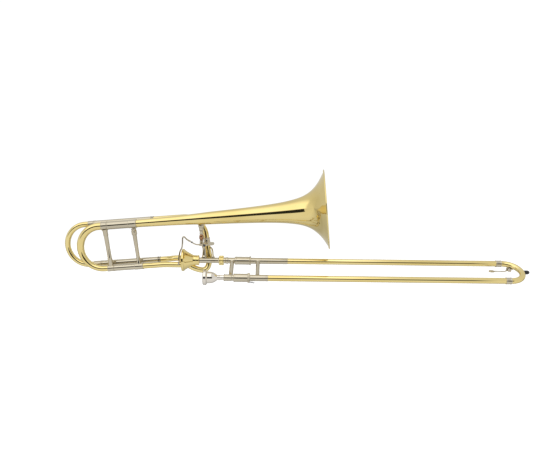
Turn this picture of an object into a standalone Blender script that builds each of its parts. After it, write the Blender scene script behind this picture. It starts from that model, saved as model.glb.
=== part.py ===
"""Large-bore tenor trombone with an F attachment and an axial-flow valve, slide closed.

Metres, +Z up.  The origin is on the axis of the slide's upper leg, at the bell lock nut, where the
left hand holds the instrument.  +X runs along the hand slide, towards its crook.  -Y is the
player's right, where the mouthpiece is.
"""
import bpy
import bmesh
from math import asin, cos, pi, radians, sin, tan
from mathutils import Matrix, Vector

# ---- driving dimensions ------------------------------------------------------------------------
SLIDE_SPACING = 0.0805          # between the axes of the hand slide's two legs
SLIDE_LEAN = radians(-60.5)     # turns the slide's plane about X, from upright to the right
BELL_SPACING = 0.1165           # between the axes of the bell stem and the gooseneck
BELL_LEAN = radians(10.5)       # the bell leans to the player's right
BELL_RISE = radians(-4.9)       # and rises towards its flare
BELL_SWING = radians(-5.4)      # and swings to the right of the slide
BELL_ORIGIN = Vector((-0.1625, 0.0120, -0.0136))    # where the gooseneck bends into the valve

GAP = 0.0003                    # between two pieces that touch
FIT = 0.00015                   # round a sleeve on its own tube
ROUND_SIDES = 16
SMALL_SIDES = 10

SLIDE_TUBE_R = 0.00775          # outer tubes of the hand slide
SLIDE_TUBE_BORE = 0.0074
INNER_TUBE_R = 0.0070
INNER_TUBE_BORE = 0.0066
SLEEVE_R = 0.00825
SLIDE_START = 0.0500            # left end of the outer tubes, inside the cork barrels
SLIDE_END = 0.7366              # where the tubes meet the crook
CROOK_CENTRE = 0.7447

BELL_WALL = 0.0008
BELL_MOUTH = 0.4462             # along the bell's axis from the bend at the valve
BELL_RADIUS = 0.1035
RIM_BEAD_R = 0.0017
BELL_STATIONS = (               # (along the axis, outer radius)
    (-0.0582, 0.0102), (-0.022, 0.0108), (0.0445, 0.0122), (0.076, 0.0134), (0.108, 0.0150),
    (0.140, 0.0167), (0.204, 0.0191), (0.2675, 0.0222), (0.3145, 0.0257), (0.346, 0.0296),
    (0.3775, 0.0363), (0.400, 0.0460), (0.4155, 0.0580), (0.4285, 0.0730), (0.4385, 0.0890),
    (BELL_MOUTH - 0.0008, BELL_RADIUS - 0.0024))

F_TUBE_R = 0.00765
F_BORE = 0.0071
F_OFFSET = 0.0236               # the F slide lies this far to the left of the bell's plane
F_LOWER_Z = 0.0092
F_UPPER_Z = BELL_SPACING + 0.0041
NECK_R = 0.0075
NECK_BORE = 0.0069

VALVE_FRONT = -0.0655
VALVE_REAR = -0.1092
PLATE_REAR = -0.1110
MAIN_PORT = Vector((PLATE_REAR, 0.0120, -0.0136))
F_PORT = Vector((PLATE_REAR, 0.0175, 0.0040))
RETURN_PORT_ANGLE = radians(-71)
VALVE_TURN = radians(60)
ARM_LENGTH = 0.0150
ARM_ANGLE = radians(203.6)      # of the rotor arm at rest, from +Y towards +Z
ARM_BALL_X = -0.1182

LEVER_PIVOT = Vector((-0.0510, -0.0170, 0.0400))
ROD_TOP = Vector((-0.0840, -0.0170, 0.0480))

# ---- materials ---------------------------------------------------------------------------------


def material(name, colour, metallic, roughness):
    made = bpy.data.materials.new(name)
    made.use_nodes = True
    shader = made.node_tree.nodes["Principled BSDF"]
    shader.inputs["Base Color"].default_value = (*colour, 1.0)
    shader.inputs["Metallic"].default_value = metallic
    shader.inputs["Roughness"].default_value = roughness
    return made


for old in list(bpy.data.objects):
    bpy.data.objects.remove(old, do_unlink=True)

BRASS = material("lacquered_brass", (0.83, 0.62, 0.22), 1.0, 0.16)
NICKEL = material("nickel_silver", (0.72, 0.68, 0.60), 1.0, 0.22)
CHROME = material("chromed_tube", (0.66, 0.65, 0.62), 1.0, 0.12)
SILVER = material("silver_plate", (0.90, 0.89, 0.86), 1.0, 0.12)
COPPER = material("copper", (0.62, 0.36, 0.18), 1.0, 0.25)
STEEL = material("spring_steel", (0.55, 0.55, 0.55), 1.0, 0.30)
CORK = material("cork", (0.60, 0.42, 0.26), 0.0, 0.90)
RUBBER = material("black_rubber", (0.02, 0.02, 0.02), 0.0, 0.60)

# ---- frames: each is an empty that pieces are parented to --------------------------------------


def frame(name, matrix, parent=None):
    empty = bpy.data.objects.new(name, None)
    bpy.context.scene.collection.objects.link(empty)
    empty.parent = parent
    empty.matrix_basis = matrix
    return empty


BELL_MATRIX = (Matrix.Translation(BELL_ORIGIN) @ Matrix.Rotation(BELL_SWING, 4, "Z")
               @ Matrix.Rotation(BELL_RISE, 4, "Y") @ Matrix.Rotation(BELL_LEAN, 4, "X"))
SLIDE_MATRIX = Matrix.Rotation(SLIDE_LEAN, 4, "X")
LOWER_LEG = Matrix.Translation((0.0, 0.0, -SLIDE_SPACING))
BELL_LEG = Matrix.Translation((0.0, 0.0, BELL_SPACING))
F_UPPER = Matrix.Translation((0.0, F_OFFSET, F_UPPER_Z))
F_LOWER = Matrix.Translation((0.0, F_OFFSET, F_LOWER_Z))

body_frame = frame("body_frame", Matrix.Identity(4))
bell_frame = frame("bell_frame", BELL_MATRIX, body_frame)
bell_axis = frame("bell_axis", BELL_LEG, bell_frame)
f_upper_axis = frame("f_upper_axis", F_UPPER, bell_frame)
f_lower_axis = frame("f_lower_axis", F_LOWER, bell_frame)
tuning_slide_axis = frame("tuning_slide_axis", Matrix.Identity(4), bell_frame)
tuning_upper_axis = frame("tuning_upper_axis", BELL_LEG, tuning_slide_axis)
f_slide_axis = frame("f_slide_axis", Matrix.Identity(4), bell_frame)
f_slide_upper = frame("f_slide_upper", F_UPPER, f_slide_axis)
f_slide_lower = frame("f_slide_lower", F_LOWER, f_slide_axis)
valve_axis = frame("valve_axis", Matrix.Identity(4), body_frame)
trigger_axis = frame("trigger_axis", Matrix.Translation(LEVER_PIVOT), body_frame)
rod_axis = frame("rod_axis", Matrix.Translation(ROD_TOP - LEVER_PIVOT), trigger_axis)
swivel_axis = frame("swivel_axis", SLIDE_MATRIX, body_frame)
lock_nut_axis = frame("lock_nut_axis", Matrix.Identity(4), swivel_axis)
lower_leg_axis = frame("lower_leg_axis", LOWER_LEG, swivel_axis)
lock_ring_axis = frame("lock_ring_axis", LOWER_LEG, swivel_axis)
mouthpiece_axis = frame("mouthpiece_axis", LOWER_LEG, swivel_axis)
hand_slide_axis = frame("hand_slide_axis", Matrix.Identity(4), swivel_axis)
hand_slide_lower = frame("hand_slide_lower", LOWER_LEG, hand_slide_axis)

# ---- ways of making a shape --------------------------------------------------------------------


def add(name, mesh, finish, parent):
    made = bpy.data.objects.new(name, mesh)
    bpy.context.scene.collection.objects.link(made)
    made.parent = parent
    if finish is not None:
        mesh.materials.append(finish)
    mesh.shade_smooth()
    mesh.set_sharp_from_angle(angle=radians(35))
    return made


def mesh_from_rings(name, rings, closed, capped):
    """Skins a row of vertex rings.  closed joins the last ring to the first."""
    work = bmesh.new()
    made = [[work.verts.new(point) for point in ring] for ring in rings]
    pairs = list(zip(made, made[1:]))
    if closed:
        pairs.append((made[-1], made[0]))
    for near, far in pairs:
        count = max(len(near), len(far))
        for side in range(count):
            after = (side + 1) % count
            if len(near) == 1:
                corners = (near[0], far[after], far[side])
            elif len(far) == 1:
                corners = (near[side], near[after], far[0])
            else:
                corners = (near[side], near[after], far[after], far[side])
            work.faces.new(corners)
    if capped:
        work.faces.new(list(reversed(made[0])))
        work.faces.new(made[-1])
    bmesh.ops.recalc_face_normals(work, faces=work.faces)
    mesh = bpy.data.meshes.new(name)
    work.to_mesh(mesh)
    work.free()
    return mesh


def turned_mesh(name, outline, sides, axis):
    """Turns an outline of (along, radius) points about the X, Y or Z axis."""
    rings = []
    for along, radius in outline:
        count = sides if radius > 0 else 1
        ring = []
        for side in range(count):
            turn = 2 * pi * side / sides
            across, up = radius * cos(turn), radius * sin(turn)
            place = {"X": (along, across, up), "Y": (up, along, across), "Z": (across, up, along)}
            ring.append(Vector(place[axis]))
        rings.append(ring)
    hollow = outline[0][1] > 0
    return mesh_from_rings(name, rings, closed=hollow, capped=False)


def turned(name, outline, finish, parent, sides=ROUND_SIDES, axis="X"):
    return add(name, turned_mesh(name, outline, sides, axis), finish, parent)


def tube_outline(start, end, outer, bore, chamfer=0.0):
    """Outline of a plain tube or ring, its outer corners chamfered."""
    if chamfer == 0.0:
        return [(start, bore), (start, outer), (end, outer), (end, bore)]
    return [(start, bore), (start, outer - chamfer), (start + chamfer, outer),
            (end - chamfer, outer), (end, outer - chamfer), (end, bore)]


def smooth_radius(stations, along):
    """Radius on a smooth curve through the stations (Catmull-Rom, by position)."""
    last = len(stations) - 1
    index = 0
    while index < last - 1 and along > stations[index + 1][0]:
        index += 1
    x0, r0 = stations[index]
    x1, r1 = stations[index + 1]
    xa, ra = stations[max(index - 1, 0)]
    xb, rb = stations[min(index + 2, last)]
    slope0 = (r1 - ra) / (x1 - xa)
    slope1 = (rb - r0) / (xb - x0)
    step = x1 - x0
    t = (along - x0) / step
    return ((2 * t ** 3 - 3 * t ** 2 + 1) * r0 + (t ** 3 - 2 * t ** 2 + t) * step * slope0
            + (3 * t ** 2 - 2 * t ** 3) * r1 + (t ** 3 - t ** 2) * step * slope1)


def arc(centre, start, end, steps):
    """Points from centre + start to centre + end, along the arc between them."""
    radius = start.length
    points = []
    for step in range(steps + 1):
        points.append(centre + start.normalized().slerp(end.normalized(), step / steps) * radius)
    return points


def rounded(corners, radius, steps=5):
    """A path through the corners, each turned on an arc."""
    path = [corners[0]]
    for before, corner, after in zip(corners, corners[1:], corners[2:]):
        back = (before - corner).normalized()
        ahead = (after - corner).normalized()
        half = back.angle(ahead) / 2
        reach = radius / tan(half)
        centre = corner + (back + ahead).normalized() * (radius / sin(half))
        path += arc(centre, corner + back * reach - centre, corner + ahead * reach - centre, steps)
    path.append(corners[-1])
    return path


def curved(points, steps=4):
    """A smooth curve through the points (Catmull-Rom)."""
    ends = [points[0] * 2 - points[1], *points, points[-1] * 2 - points[-2]]
    path = []
    for before, here, there, after in zip(ends, ends[1:], ends[2:], ends[3:]):
        for step in range(steps):
            t = step / steps
            path.append(0.5 * (here * 2 + (there - before) * t
                               + (before * 2 - here * 5 + there * 4 - after) * t ** 2
                               + (here * 3 - before - there * 3 + after) * t ** 3))
    path.append(points[-1])
    return path


def half_circle(start, end, outward, steps):
    """A 180 degree bow from start to end that bulges along outward."""
    centre = (start + end) / 2
    radius = (start - end).length / 2
    points = []
    for step in range(steps + 1):
        turn = pi * step / steps
        points.append(centre + (start - centre) * cos(turn) + outward * radius * sin(turn))
    return points


def path_rings(path, radii, sides):
    """Vertex rings square to a path, without twist."""
    rings = []
    ahead = (path[1] - path[0]).normalized()
    across = ahead.orthogonal().normalized()
    for index, point in enumerate(path):
        before = path[max(index - 1, 0)]
        after = path[min(index + 1, len(path) - 1)]
        along = (after - before).normalized()
        across.rotate(ahead.rotation_difference(along))
        ahead = along
        up = along.cross(across)
        ring = []
        for side in range(sides):
            turn = 2 * pi * side / sides
            ring.append(point + (across * cos(turn) + up * sin(turn)) * radii[index])
        rings.append(ring)
    return rings


def spread(value, path):
    """One radius for every point of a path, from one number or a row of evenly spread ones."""
    if isinstance(value, float):
        return [value] * len(path)
    radii = []
    for index in range(len(path)):
        place = index / (len(path) - 1) * (len(value) - 1)
        low = min(int(place), len(value) - 2)
        radii.append(value[low] + (value[low + 1] - value[low]) * (place - low))
    return radii


def pipe(name, path, outer, bore, finish, parent, sides=ROUND_SIDES):
    """A hollow tube along a path."""
    outside = path_rings(path, spread(outer, path), sides)
    inside = path_rings(path, spread(bore, path), sides)
    rings = outside + list(reversed(inside))
    return add(name, mesh_from_rings(name, rings, closed=True, capped=False), finish, parent)


def rod_mesh(name, path, radius, sides=SMALL_SIDES):
    rings = path_rings(path, spread(radius, path), sides)
    return mesh_from_rings(name, rings, closed=False, capped=True)


def rod(name, path, radius, finish, parent, sides=SMALL_SIDES):
    """A solid bar along a path, its radius one number or a row of them."""
    return add(name, rod_mesh(name, path, radius, sides), finish, parent)


def block(name, low, high, bevel, finish, parent):
    """A box between two corners with rounded edges."""
    low, high = Vector(low), Vector(high)
    work = bmesh.new()
    bmesh.ops.create_cube(work, size=1.0)
    bmesh.ops.scale(work, vec=high - low, verts=work.verts)
    bmesh.ops.translate(work, vec=(low + high) / 2, verts=work.verts)
    if bevel > 0:
        bmesh.ops.bevel(work, geom=work.edges, offset=bevel, segments=2, affect="EDGES",
                        profile=0.5, clamp_overlap=True)
    mesh = bpy.data.meshes.new(name)
    work.to_mesh(mesh)
    work.free()
    return add(name, mesh, finish, parent)


def combine(target, tool, operation):
    """Cuts the tool away from the target, or joins it on, and hides the tool."""
    change = target.modifiers.new(f"{operation.lower()}_{tool.name}", "BOOLEAN")
    change.operation = operation
    change.object = tool
    change.solver = "EXACT"
    tool.hide_render = True
    tool.display_type = "WIRE"
    return target


def tool_rod(name, path, radius, parent, sides=SMALL_SIDES):
    return rod(name, path, radius, None, parent, sides)


def along_x(start, end, y=0.0, z=0.0):
    return [Vector((start, y, z)), Vector((end, y, z))]


def brace(name, top, bottom, radius, foot, top_cut, bottom_cut, finish, parent):
    """A stay between two tubes: slim in the middle, flared feet that saddle both tubes."""
    row = [top.lerp(bottom, share) for share in (0, 0.06, 0.13, 0.2, 0.8, 0.87, 0.94, 1)]
    path_radii = [foot, foot * 0.92, radius * 1.12, radius, radius, radius * 1.12, foot * 0.92,
                  foot]
    rings = path_rings(row, path_radii, SMALL_SIDES)
    made = add(name, mesh_from_rings(name, rings, closed=False, capped=True), finish, parent)
    for tag, (centre, cut_radius) in (("top", top_cut), ("bottom", bottom_cut)):
        reach = 0.03
        path = [centre - Vector((reach, 0, 0)), centre + Vector((reach, 0, 0))]
        combine(made, tool_rod(f"{name}_{tag}_cutter", path, cut_radius, parent, 24), "DIFFERENCE")
    return made


# ---- bell --------------------------------------------------------------------------------------


def bell_outline():
    """Outer skin out to the rolled rim, then the inner skin back to the stem."""
    stations = []
    for (x0, r0), (x1, r1) in zip(BELL_STATIONS, BELL_STATIONS[1:]):
        steps = 2 if r1 - r0 > 0.003 else 1
        for step in range(steps):
            along = x0 + (x1 - x0) * step / steps
            stations.append((along, smooth_radius(BELL_STATIONS, along)))
    outer = stations + [BELL_STATIONS[-1]]
    inner = []
    for index, (along, radius) in enumerate(outer):
        xa, ra = outer[max(index - 1, 0)]
        xb, rb = outer[min(index + 1, len(outer) - 1)]
        lean = Vector((xb - xa, rb - ra)).normalized()
        inner.append((along + lean.y * BELL_WALL, radius - lean.x * BELL_WALL))
    inner[0] = (outer[0][0], outer[0][1] - BELL_WALL)
    bead_x = BELL_MOUTH - RIM_BEAD_R
    bead_r = BELL_RADIUS - RIM_BEAD_R
    bead = []
    for turn in (150, 90, 30):
        bead.append((bead_x + RIM_BEAD_R * cos(radians(turn)),
                     bead_r + RIM_BEAD_R * sin(radians(turn))))
    flat = RIM_BEAD_R * 0.42
    front = [(BELL_MOUTH, bead_r + flat), (BELL_MOUTH, bead_r - flat)]
    return outer[:-1] + bead + front + list(reversed(inner))


turned("bell", bell_outline(), BRASS, bell_axis, sides=32)

# ---- bell section: sleeves, gooseneck, braces ---------------------------------------------------

turned("upper_tuning_sleeve",
       [(-0.1382, 0.01025), (-0.1382, 0.0111), (-0.1362, 0.0111), (-0.1358, 0.0107),
        (-0.0800, 0.0107), (-0.0796, 0.0116), (-0.0592, 0.0116), (-0.0585, 0.0110),
        (-0.0585, 0.01055), (-0.0790, 0.01055), (-0.0796, 0.01025)],
       NICKEL, bell_axis, sides=20)
turned("lower_tuning_sleeve",
       [(-0.1342, 0.00775), (-0.1342, 0.0087), (-0.1322, 0.0087), (-0.1318, 0.0083),
        (-0.0776, 0.0083), (-0.0772, 0.0092), (-0.0552, 0.0092), (-0.0545, 0.0086),
        (-0.0545, 0.0080), (-0.0766, 0.0080), (-0.0772, 0.00775)],
       NICKEL, bell_frame)
turned("f_upper_sleeve", tube_outline(-0.1832, -0.0175, 0.0083, 0.0078), NICKEL, f_upper_axis)
turned("f_lower_sleeve", tube_outline(-0.1767, -0.0115, 0.0083, 0.0078), NICKEL, f_lower_axis)


def bell_point(x, y, z):
    return BELL_MATRIX @ Vector((x, y, z))


gooseneck_path = rounded([bell_point(-0.0765, 0, 0), bell_point(0, 0, 0),
                          MAIN_PORT - Vector((GAP, 0, 0))], 0.16)
pipe("gooseneck", gooseneck_path, NECK_R, 0.0070, BRASS, body_frame)

f_outlet_path = rounded([bell_point(-0.0112, F_OFFSET, F_LOWER_Z),
                         bell_point(0.0080, F_OFFSET, F_LOWER_Z),
                         F_PORT - Vector((0.0200, 0, 0)), F_PORT - Vector((GAP, 0, 0))], 0.035, steps=4)
pipe("f_outlet_tube", f_outlet_path, F_TUBE_R, F_BORE, BRASS, body_frame)

f_bend_end = Vector((-0.0478, 0.0140, 0.0535))
f_bend_path = rounded([bell_point(-0.0172, F_OFFSET, F_UPPER_Z),
                       bell_point(0.0350, F_OFFSET, F_UPPER_Z),
                       Vector((-0.0560, 0.0085, 0.1185)), f_bend_end], 0.056, steps=6)
pipe("f_front_bend", f_bend_path, F_TUBE_R, F_BORE, BRASS, body_frame)

f_loop_points = [Vector(point) for point in (
    (-0.0478, 0.0140, 0.0531), (-0.0453, 0.0157, 0.0333), (-0.0414, 0.0180, 0.0100),
    (-0.0412, 0.0175, -0.0085), (-0.0465, 0.0155, -0.0220), (-0.0560, 0.0128, -0.0268),
    (-0.0680, 0.0100, -0.0253), (-0.0800, 0.0075, -0.0212), (-0.0900, 0.0055, -0.0165),
    (-0.0990, 0.0035, -0.0115))]
f_loop_path = curved(f_loop_points, steps=2)
f_return_loop = pipe("f_return_loop", f_loop_path, F_TUBE_R, F_BORE, BRASS, body_frame)

ferrule_half = (f_bend_end - f_bend_path[-2]).normalized() * 0.0070
pipe("f_return_ferrule", [f_bend_end - ferrule_half, f_bend_end + ferrule_half], 0.0094,
     F_TUBE_R + 0.0005, NICKEL, body_frame)

BODY_BRACE_X = -0.0660
brace("body_brace", Vector((BODY_BRACE_X - 0.0031, 0, BELL_SPACING - 0.008)),
      Vector((BODY_BRACE_X, 0, 0.006)), 0.0051, 0.0072,
      (Vector((BODY_BRACE_X, 0, BELL_SPACING)), 0.0116 + GAP),
      (Vector((BODY_BRACE_X, 0, 0)), 0.0092 + GAP), NICKEL, bell_frame)
for tag, near_z, near_r, far_z in (("upper", BELL_SPACING, 0.0116, F_UPPER_Z),
                                   ("lower", 0.0, 0.0092, F_LOWER_Z)):
    brace(f"f_{tag}_stay", Vector((-0.0700, 0.004, near_z + 0.1 * (far_z - near_z))),
          Vector((-0.0700, F_OFFSET - 0.004, far_z)), 0.0030, 0.0048,
          (Vector((-0.0700, 0, near_z)), near_r + GAP),
          (Vector((-0.0700, F_OFFSET, far_z)), 0.0083 + GAP), NICKEL, bell_frame)

# ---- neckpipe and the brace that carries the trigger --------------------------------------------

turned("neckpipe",
       [(-0.0722, NECK_BORE), (-0.0722, NECK_R), (-0.0130, NECK_R), (-0.0122, 0.0096),
        (-0.0117, 0.0102), (-0.0044, 0.0102), (-0.0038, 0.0096), (-0.0038, NECK_BORE)],
       NICKEL, body_frame)

BRACE_TOP = Vector((-0.0600, -0.0196, 0.1020))
BRACE_FOOT = Vector((-0.0598, -0.0060, 0.0500))
brace_axis = frame("brace_axis", Matrix.Translation(BRACE_FOOT)
                   @ (BRACE_TOP - BRACE_FOOT).to_track_quat("Z", "X").to_matrix().to_4x4(),
                   body_frame)
brace_post = turned("bell_brace_post",
                    [(0.0200, 0), (0.0200, 0.0040), (0.0208, 0.0046), (0.0290, 0.0046),
                     (0.0300, 0.0058), (0.0385, 0.0061), (0.0400, 0.0074), (0.0500, 0.0076),
                     (0.0500, 0)],
                    NICKEL, brace_axis, axis="Z")
bell_low = 0.0800
bell_high = 0.1500
bell_cutter = turned("bell_cutter",
                     [(bell_low, 0), (bell_low, smooth_radius(BELL_STATIONS, bell_low) + GAP),
                      (bell_high, smooth_radius(BELL_STATIONS, bell_high) + GAP), (bell_high, 0)],
                     None, bell_axis, sides=40)
combine(brace_post, bell_cutter, "DIFFERENCE")
turned("bell_brace_knob",
       [(0.0040, 0), (0.0040, 0.0034), (0.0060, 0.0048), (0.0090, 0.0057), (0.0125, 0.0058),
        (0.0158, 0.0054), (0.0184, 0.0042), (0.0197, 0.0030), (0.0197, 0)],
       COPPER, brace_axis, sides=16, axis="Z")

strut_path = curved([Vector((-0.0524, 0.0, 0.0020)), Vector((-0.0526, -0.0006, 0.0150)),
                     Vector((-0.0530, -0.0022, 0.0310)), Vector((-0.0570, -0.0046, 0.0425)),
                     brace_axis.matrix_basis @ Vector((0, 0, -0.0035)),
                     brace_axis.matrix_basis @ Vector((0, 0, 0.0036))], steps=2)
bell_brace_strut = rod("bell_brace_strut", strut_path,
                       [0.0070, 0.0050, 0.0044, 0.0041, 0.0045, 0.0045], NICKEL, body_frame)
neck_cutter = tool_rod("neck_cutter", along_x(-0.10, 0.02), NECK_R + GAP, body_frame, 24)
combine(bell_brace_strut, neck_cutter, "DIFFERENCE")

stay_path = curved([Vector((-0.0280, 0.0010, 0.0030)), Vector((-0.0300, 0.0016, 0.0120)),
                    Vector((-0.0320, 0.0060, 0.0290)), Vector((-0.0410, 0.0145, 0.0360))], steps=3)
f_return_stay = rod("f_return_stay", stay_path, [0.0046, 0.0025, 0.0022, 0.0024], NICKEL,
                    body_frame, sides=10)
combine(f_return_stay, neck_cutter, "DIFFERENCE")
loop_cutter = tool_rod("loop_cutter", f_loop_path[:7], F_TUBE_R + GAP, body_frame, 16)
combine(f_return_stay, loop_cutter, "DIFFERENCE")

# ---- valve --------------------------------------------------------------------------------------

VALVE_FLARE = ((-0.0760, 0.0135), (-0.0820, 0.0143), (-0.0880, 0.0174), (-0.0940, 0.0209),
               (-0.1000, 0.0248), (-0.1042, 0.0281))
CONE_FRONT = (-0.0780, 0.0109)
CONE_REAR = (VALVE_REAR, 0.0275)
valve_casing = turned(
    "valve_casing",
    [(VALVE_FRONT, 0.0078), (VALVE_FRONT, 0.0128), (VALVE_FRONT - 0.0006, 0.0134), *VALVE_FLARE,
     (-0.1058, 0.0300), (VALVE_REAR, 0.0300), CONE_REAR, CONE_FRONT, (-0.0780, NECK_BORE),
     (-0.0726, NECK_BORE), (-0.0726, 0.0078)],
    BRASS, body_frame, sides=28)
return_tool = tool_rod("return_bore_cutter", f_loop_path[-5:], F_BORE, body_frame)
combine(valve_casing, return_tool, "DIFFERENCE")

casing_skin = turned(
    "casing_skin_cutter",
    [(VALVE_FRONT + GAP, 0), (VALVE_FRONT + GAP, 0.0134 + GAP),
     *((x, r + 1.3 * GAP) for x, r in VALVE_FLARE), (-0.1058, 0.0300 + GAP),
     (VALVE_REAR, 0.0300 + GAP), (VALVE_REAR, 0)],
    None, body_frame, sides=28)
combine(f_return_loop, casing_skin, "DIFFERENCE")

back_plate = turned("valve_back_plate",
                    [(PLATE_REAR, 0.0034), (PLATE_REAR, 0.0290), (PLATE_REAR + 0.0006, 0.0297),
                     (VALVE_REAR - GAP, 0.0297), (VALVE_REAR - GAP, 0.0034)],
                    BRASS, body_frame, sides=28)
for tag, port in (("main", MAIN_PORT), ("f", F_PORT)):
    port_path = [port + Vector((-0.004, 0, 0)), port + Vector((0.006, 0, 0))]
    combine(back_plate, tool_rod(f"{tag}_port_cutter", port_path, 0.0070, body_frame, 16),
            "DIFFERENCE")

ROTOR_REAR = VALVE_REAR - 0.0001
ROTOR_SLOPE = (CONE_REAR[1] - CONE_FRONT[1]) / (CONE_REAR[0] - CONE_FRONT[0])
ROTOR_FRONT = CONE_FRONT[0] - 0.0004
rotor_rear_r = CONE_REAR[1] - 0.0005
rotor_front_r = rotor_rear_r + ROTOR_SLOPE * (ROTOR_FRONT - CONE_REAR[0])
valve_rotor = turned("valve_rotor",
                     [(ROTOR_FRONT, 0), (ROTOR_FRONT, rotor_front_r), (ROTOR_REAR + 0.0004, rotor_rear_r),
                      (ROTOR_REAR + 0.0004, 0.0030), (PLATE_REAR - 0.0046, 0.0030),
                      (PLATE_REAR - 0.0046, 0)],
                     NICKEL, valve_axis, sides=28)
PASSAGE_R = 0.0054


def rotor_point(x, radius, turn):
    return Vector((x, radius * cos(turn), radius * sin(turn)))


main_turn = MAIN_PORT.yz.angle_signed(Vector((1, 0))) * -1
f_turn = F_PORT.yz.angle_signed(Vector((1, 0))) * -1
PORT_RADIUS = 0.0181
for tag, turn in (("main", main_turn), ("f", f_turn + VALVE_TURN)):
    passage = curved([rotor_point(-0.0740, 0.0, 0.0), rotor_point(-0.0815, 0.0016, turn),
                      rotor_point(-0.0920, 0.0105, turn), rotor_point(-0.1030, 0.0172, turn),
                      rotor_point(-0.1130, PORT_RADIUS, turn)], steps=2)
    combine(valve_rotor, tool_rod(f"{tag}_passage_cutter", passage, PASSAGE_R, valve_axis, 10),
            "DIFFERENCE")
return_turn = RETURN_PORT_ANGLE + VALVE_TURN
mid_turn = (return_turn + main_turn + VALVE_TURN) / 2
side_passage = curved([rotor_point(-0.0880, 0.0260, return_turn), rotor_point(-0.0960, 0.0195, return_turn),
                       rotor_point(-0.1030, 0.0182, mid_turn),
                       rotor_point(-0.1130, PORT_RADIUS, main_turn + VALVE_TURN)], steps=2)
combine(valve_rotor, tool_rod("side_passage_cutter", side_passage, PASSAGE_R, valve_axis, 10),
        "DIFFERENCE")

ball_place = rotor_point(ARM_BALL_X, ARM_LENGTH, ARM_ANGLE)
hub_x = PLATE_REAR - 0.0030
arm_hub = turned("rotor_arm",
                 [(hub_x - 0.0022, 0.0032), (hub_x - 0.0022, 0.0052), (hub_x + 0.0012, 0.0052),
                  (hub_x + 0.0012, 0.0032)], NICKEL, valve_axis, sides=16)
arm_bar = tool_rod("arm_bar", [rotor_point(hub_x - 0.0005, 0.0042, ARM_ANGLE),
                               rotor_point(hub_x - 0.0005, ARM_LENGTH + 0.0018, ARM_ANGLE)],
                   0.0015, valve_axis, 8)
combine(arm_hub, arm_bar, "UNION")
BALL_R = 0.0022
ball_outline = [(hub_x, 0), (hub_x, 0.0016), (ARM_BALL_X + 0.0019, 0.0012)]
for turn in (30, 60, 90, 120, 150):
    ball_outline.append((ARM_BALL_X + BALL_R * cos(radians(turn)), BALL_R * sin(radians(turn))))
ball_outline.append((ARM_BALL_X - BALL_R, 0))
ball_stud = turned("ball_stud", ball_outline, None, valve_axis, sides=10)
ball_stud.location = (0, ball_place.y, ball_place.z)
combine(arm_hub, ball_stud, "UNION")

# ---- trigger and its linkage, in the trigger's own frame ----------------------------------------

PIN_R = 0.0017
pin_back = BRACE_FOOT.y - LEVER_PIVOT.y
turned("lever_pivot_pin",
       [(-0.0066, 0), (-0.0066, 0.0029), (-0.0052, 0.0029), (-0.0052, PIN_R), (0.0085, PIN_R),
        (0.0085, 0)], STEEL, frame("pin_axis", Matrix.Translation(LEVER_PIVOT), body_frame),
       sides=12, axis="Y")

lever = block("thumb_lever", (-0.0130, -0.0040, -0.0022), (0.0075, 0.0040, 0.0052), 0.0012, NICKEL,
              trigger_axis)
barrel = turned("lever_barrel", [(-0.0046, 0), (-0.0046, 0.0040), (0.0046, 0.0040), (0.0046, 0)],
                None, trigger_axis, sides=14, axis="Y")
combine(lever, barrel, "UNION")
tip = ROD_TOP - LEVER_PIVOT
lever_arm_path = curved([Vector((-0.0110, 0, 0.0022)), Vector((-0.0200, 0, 0.0020)),
                         Vector((-0.0270, 0, 0.0045)), Vector((tip.x, 0, tip.z))], steps=3)
combine(lever, tool_rod("lever_arm", lever_arm_path, 0.0015, trigger_axis, 8), "UNION")
finger = tool_rod("lever_finger", [Vector((0.0050, 0, 0.0012)), Vector((0.0210, 0, 0.0012))],
                  0.0014, trigger_axis, 8)
combine(lever, finger, "UNION")
pin_hole = turned("pin_hole_cutter", [(-0.02, 0), (-0.02, PIN_R + GAP), (0.02, PIN_R + GAP),
                                      (0.02, 0)], None, trigger_axis, sides=12, axis="Y")
combine(lever, pin_hole, "DIFFERENCE")
PADDLE_TILT = radians(25)       # the thumb's plate faces a little to the player's right
block("thumb_paddle", (0.0093, -0.0085, -0.0011), (0.0263, 0.0085, 0.0011), 0.0009, SILVER,
      frame("thumb_tilt", Matrix.Translation((0, 0, 0.0046)) @ Matrix.Rotation(PADDLE_TILT, 4, "X"),
            trigger_axis))

SPRING_TURNS = 3
spring_path = []
for step in range(SPRING_TURNS * 10 + 1):
    turn = 2 * pi * step / 10
    spring_path.append(Vector((0.0026 * cos(turn), 0.0052 + 0.0028 * step / (SPRING_TURNS * 10),
                               0.0026 * sin(turn))))
rod("lever_spring", spring_path, 0.00035, STEEL,
    frame("spring_axis", Matrix.Translation(LEVER_PIVOT), body_frame), sides=5)

eye = Vector((ARM_BALL_X, ball_place.y, ball_place.z)) - ROD_TOP


def rod_point(x, y, z):
    return Vector((x, y, z)) - ROD_TOP


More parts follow.
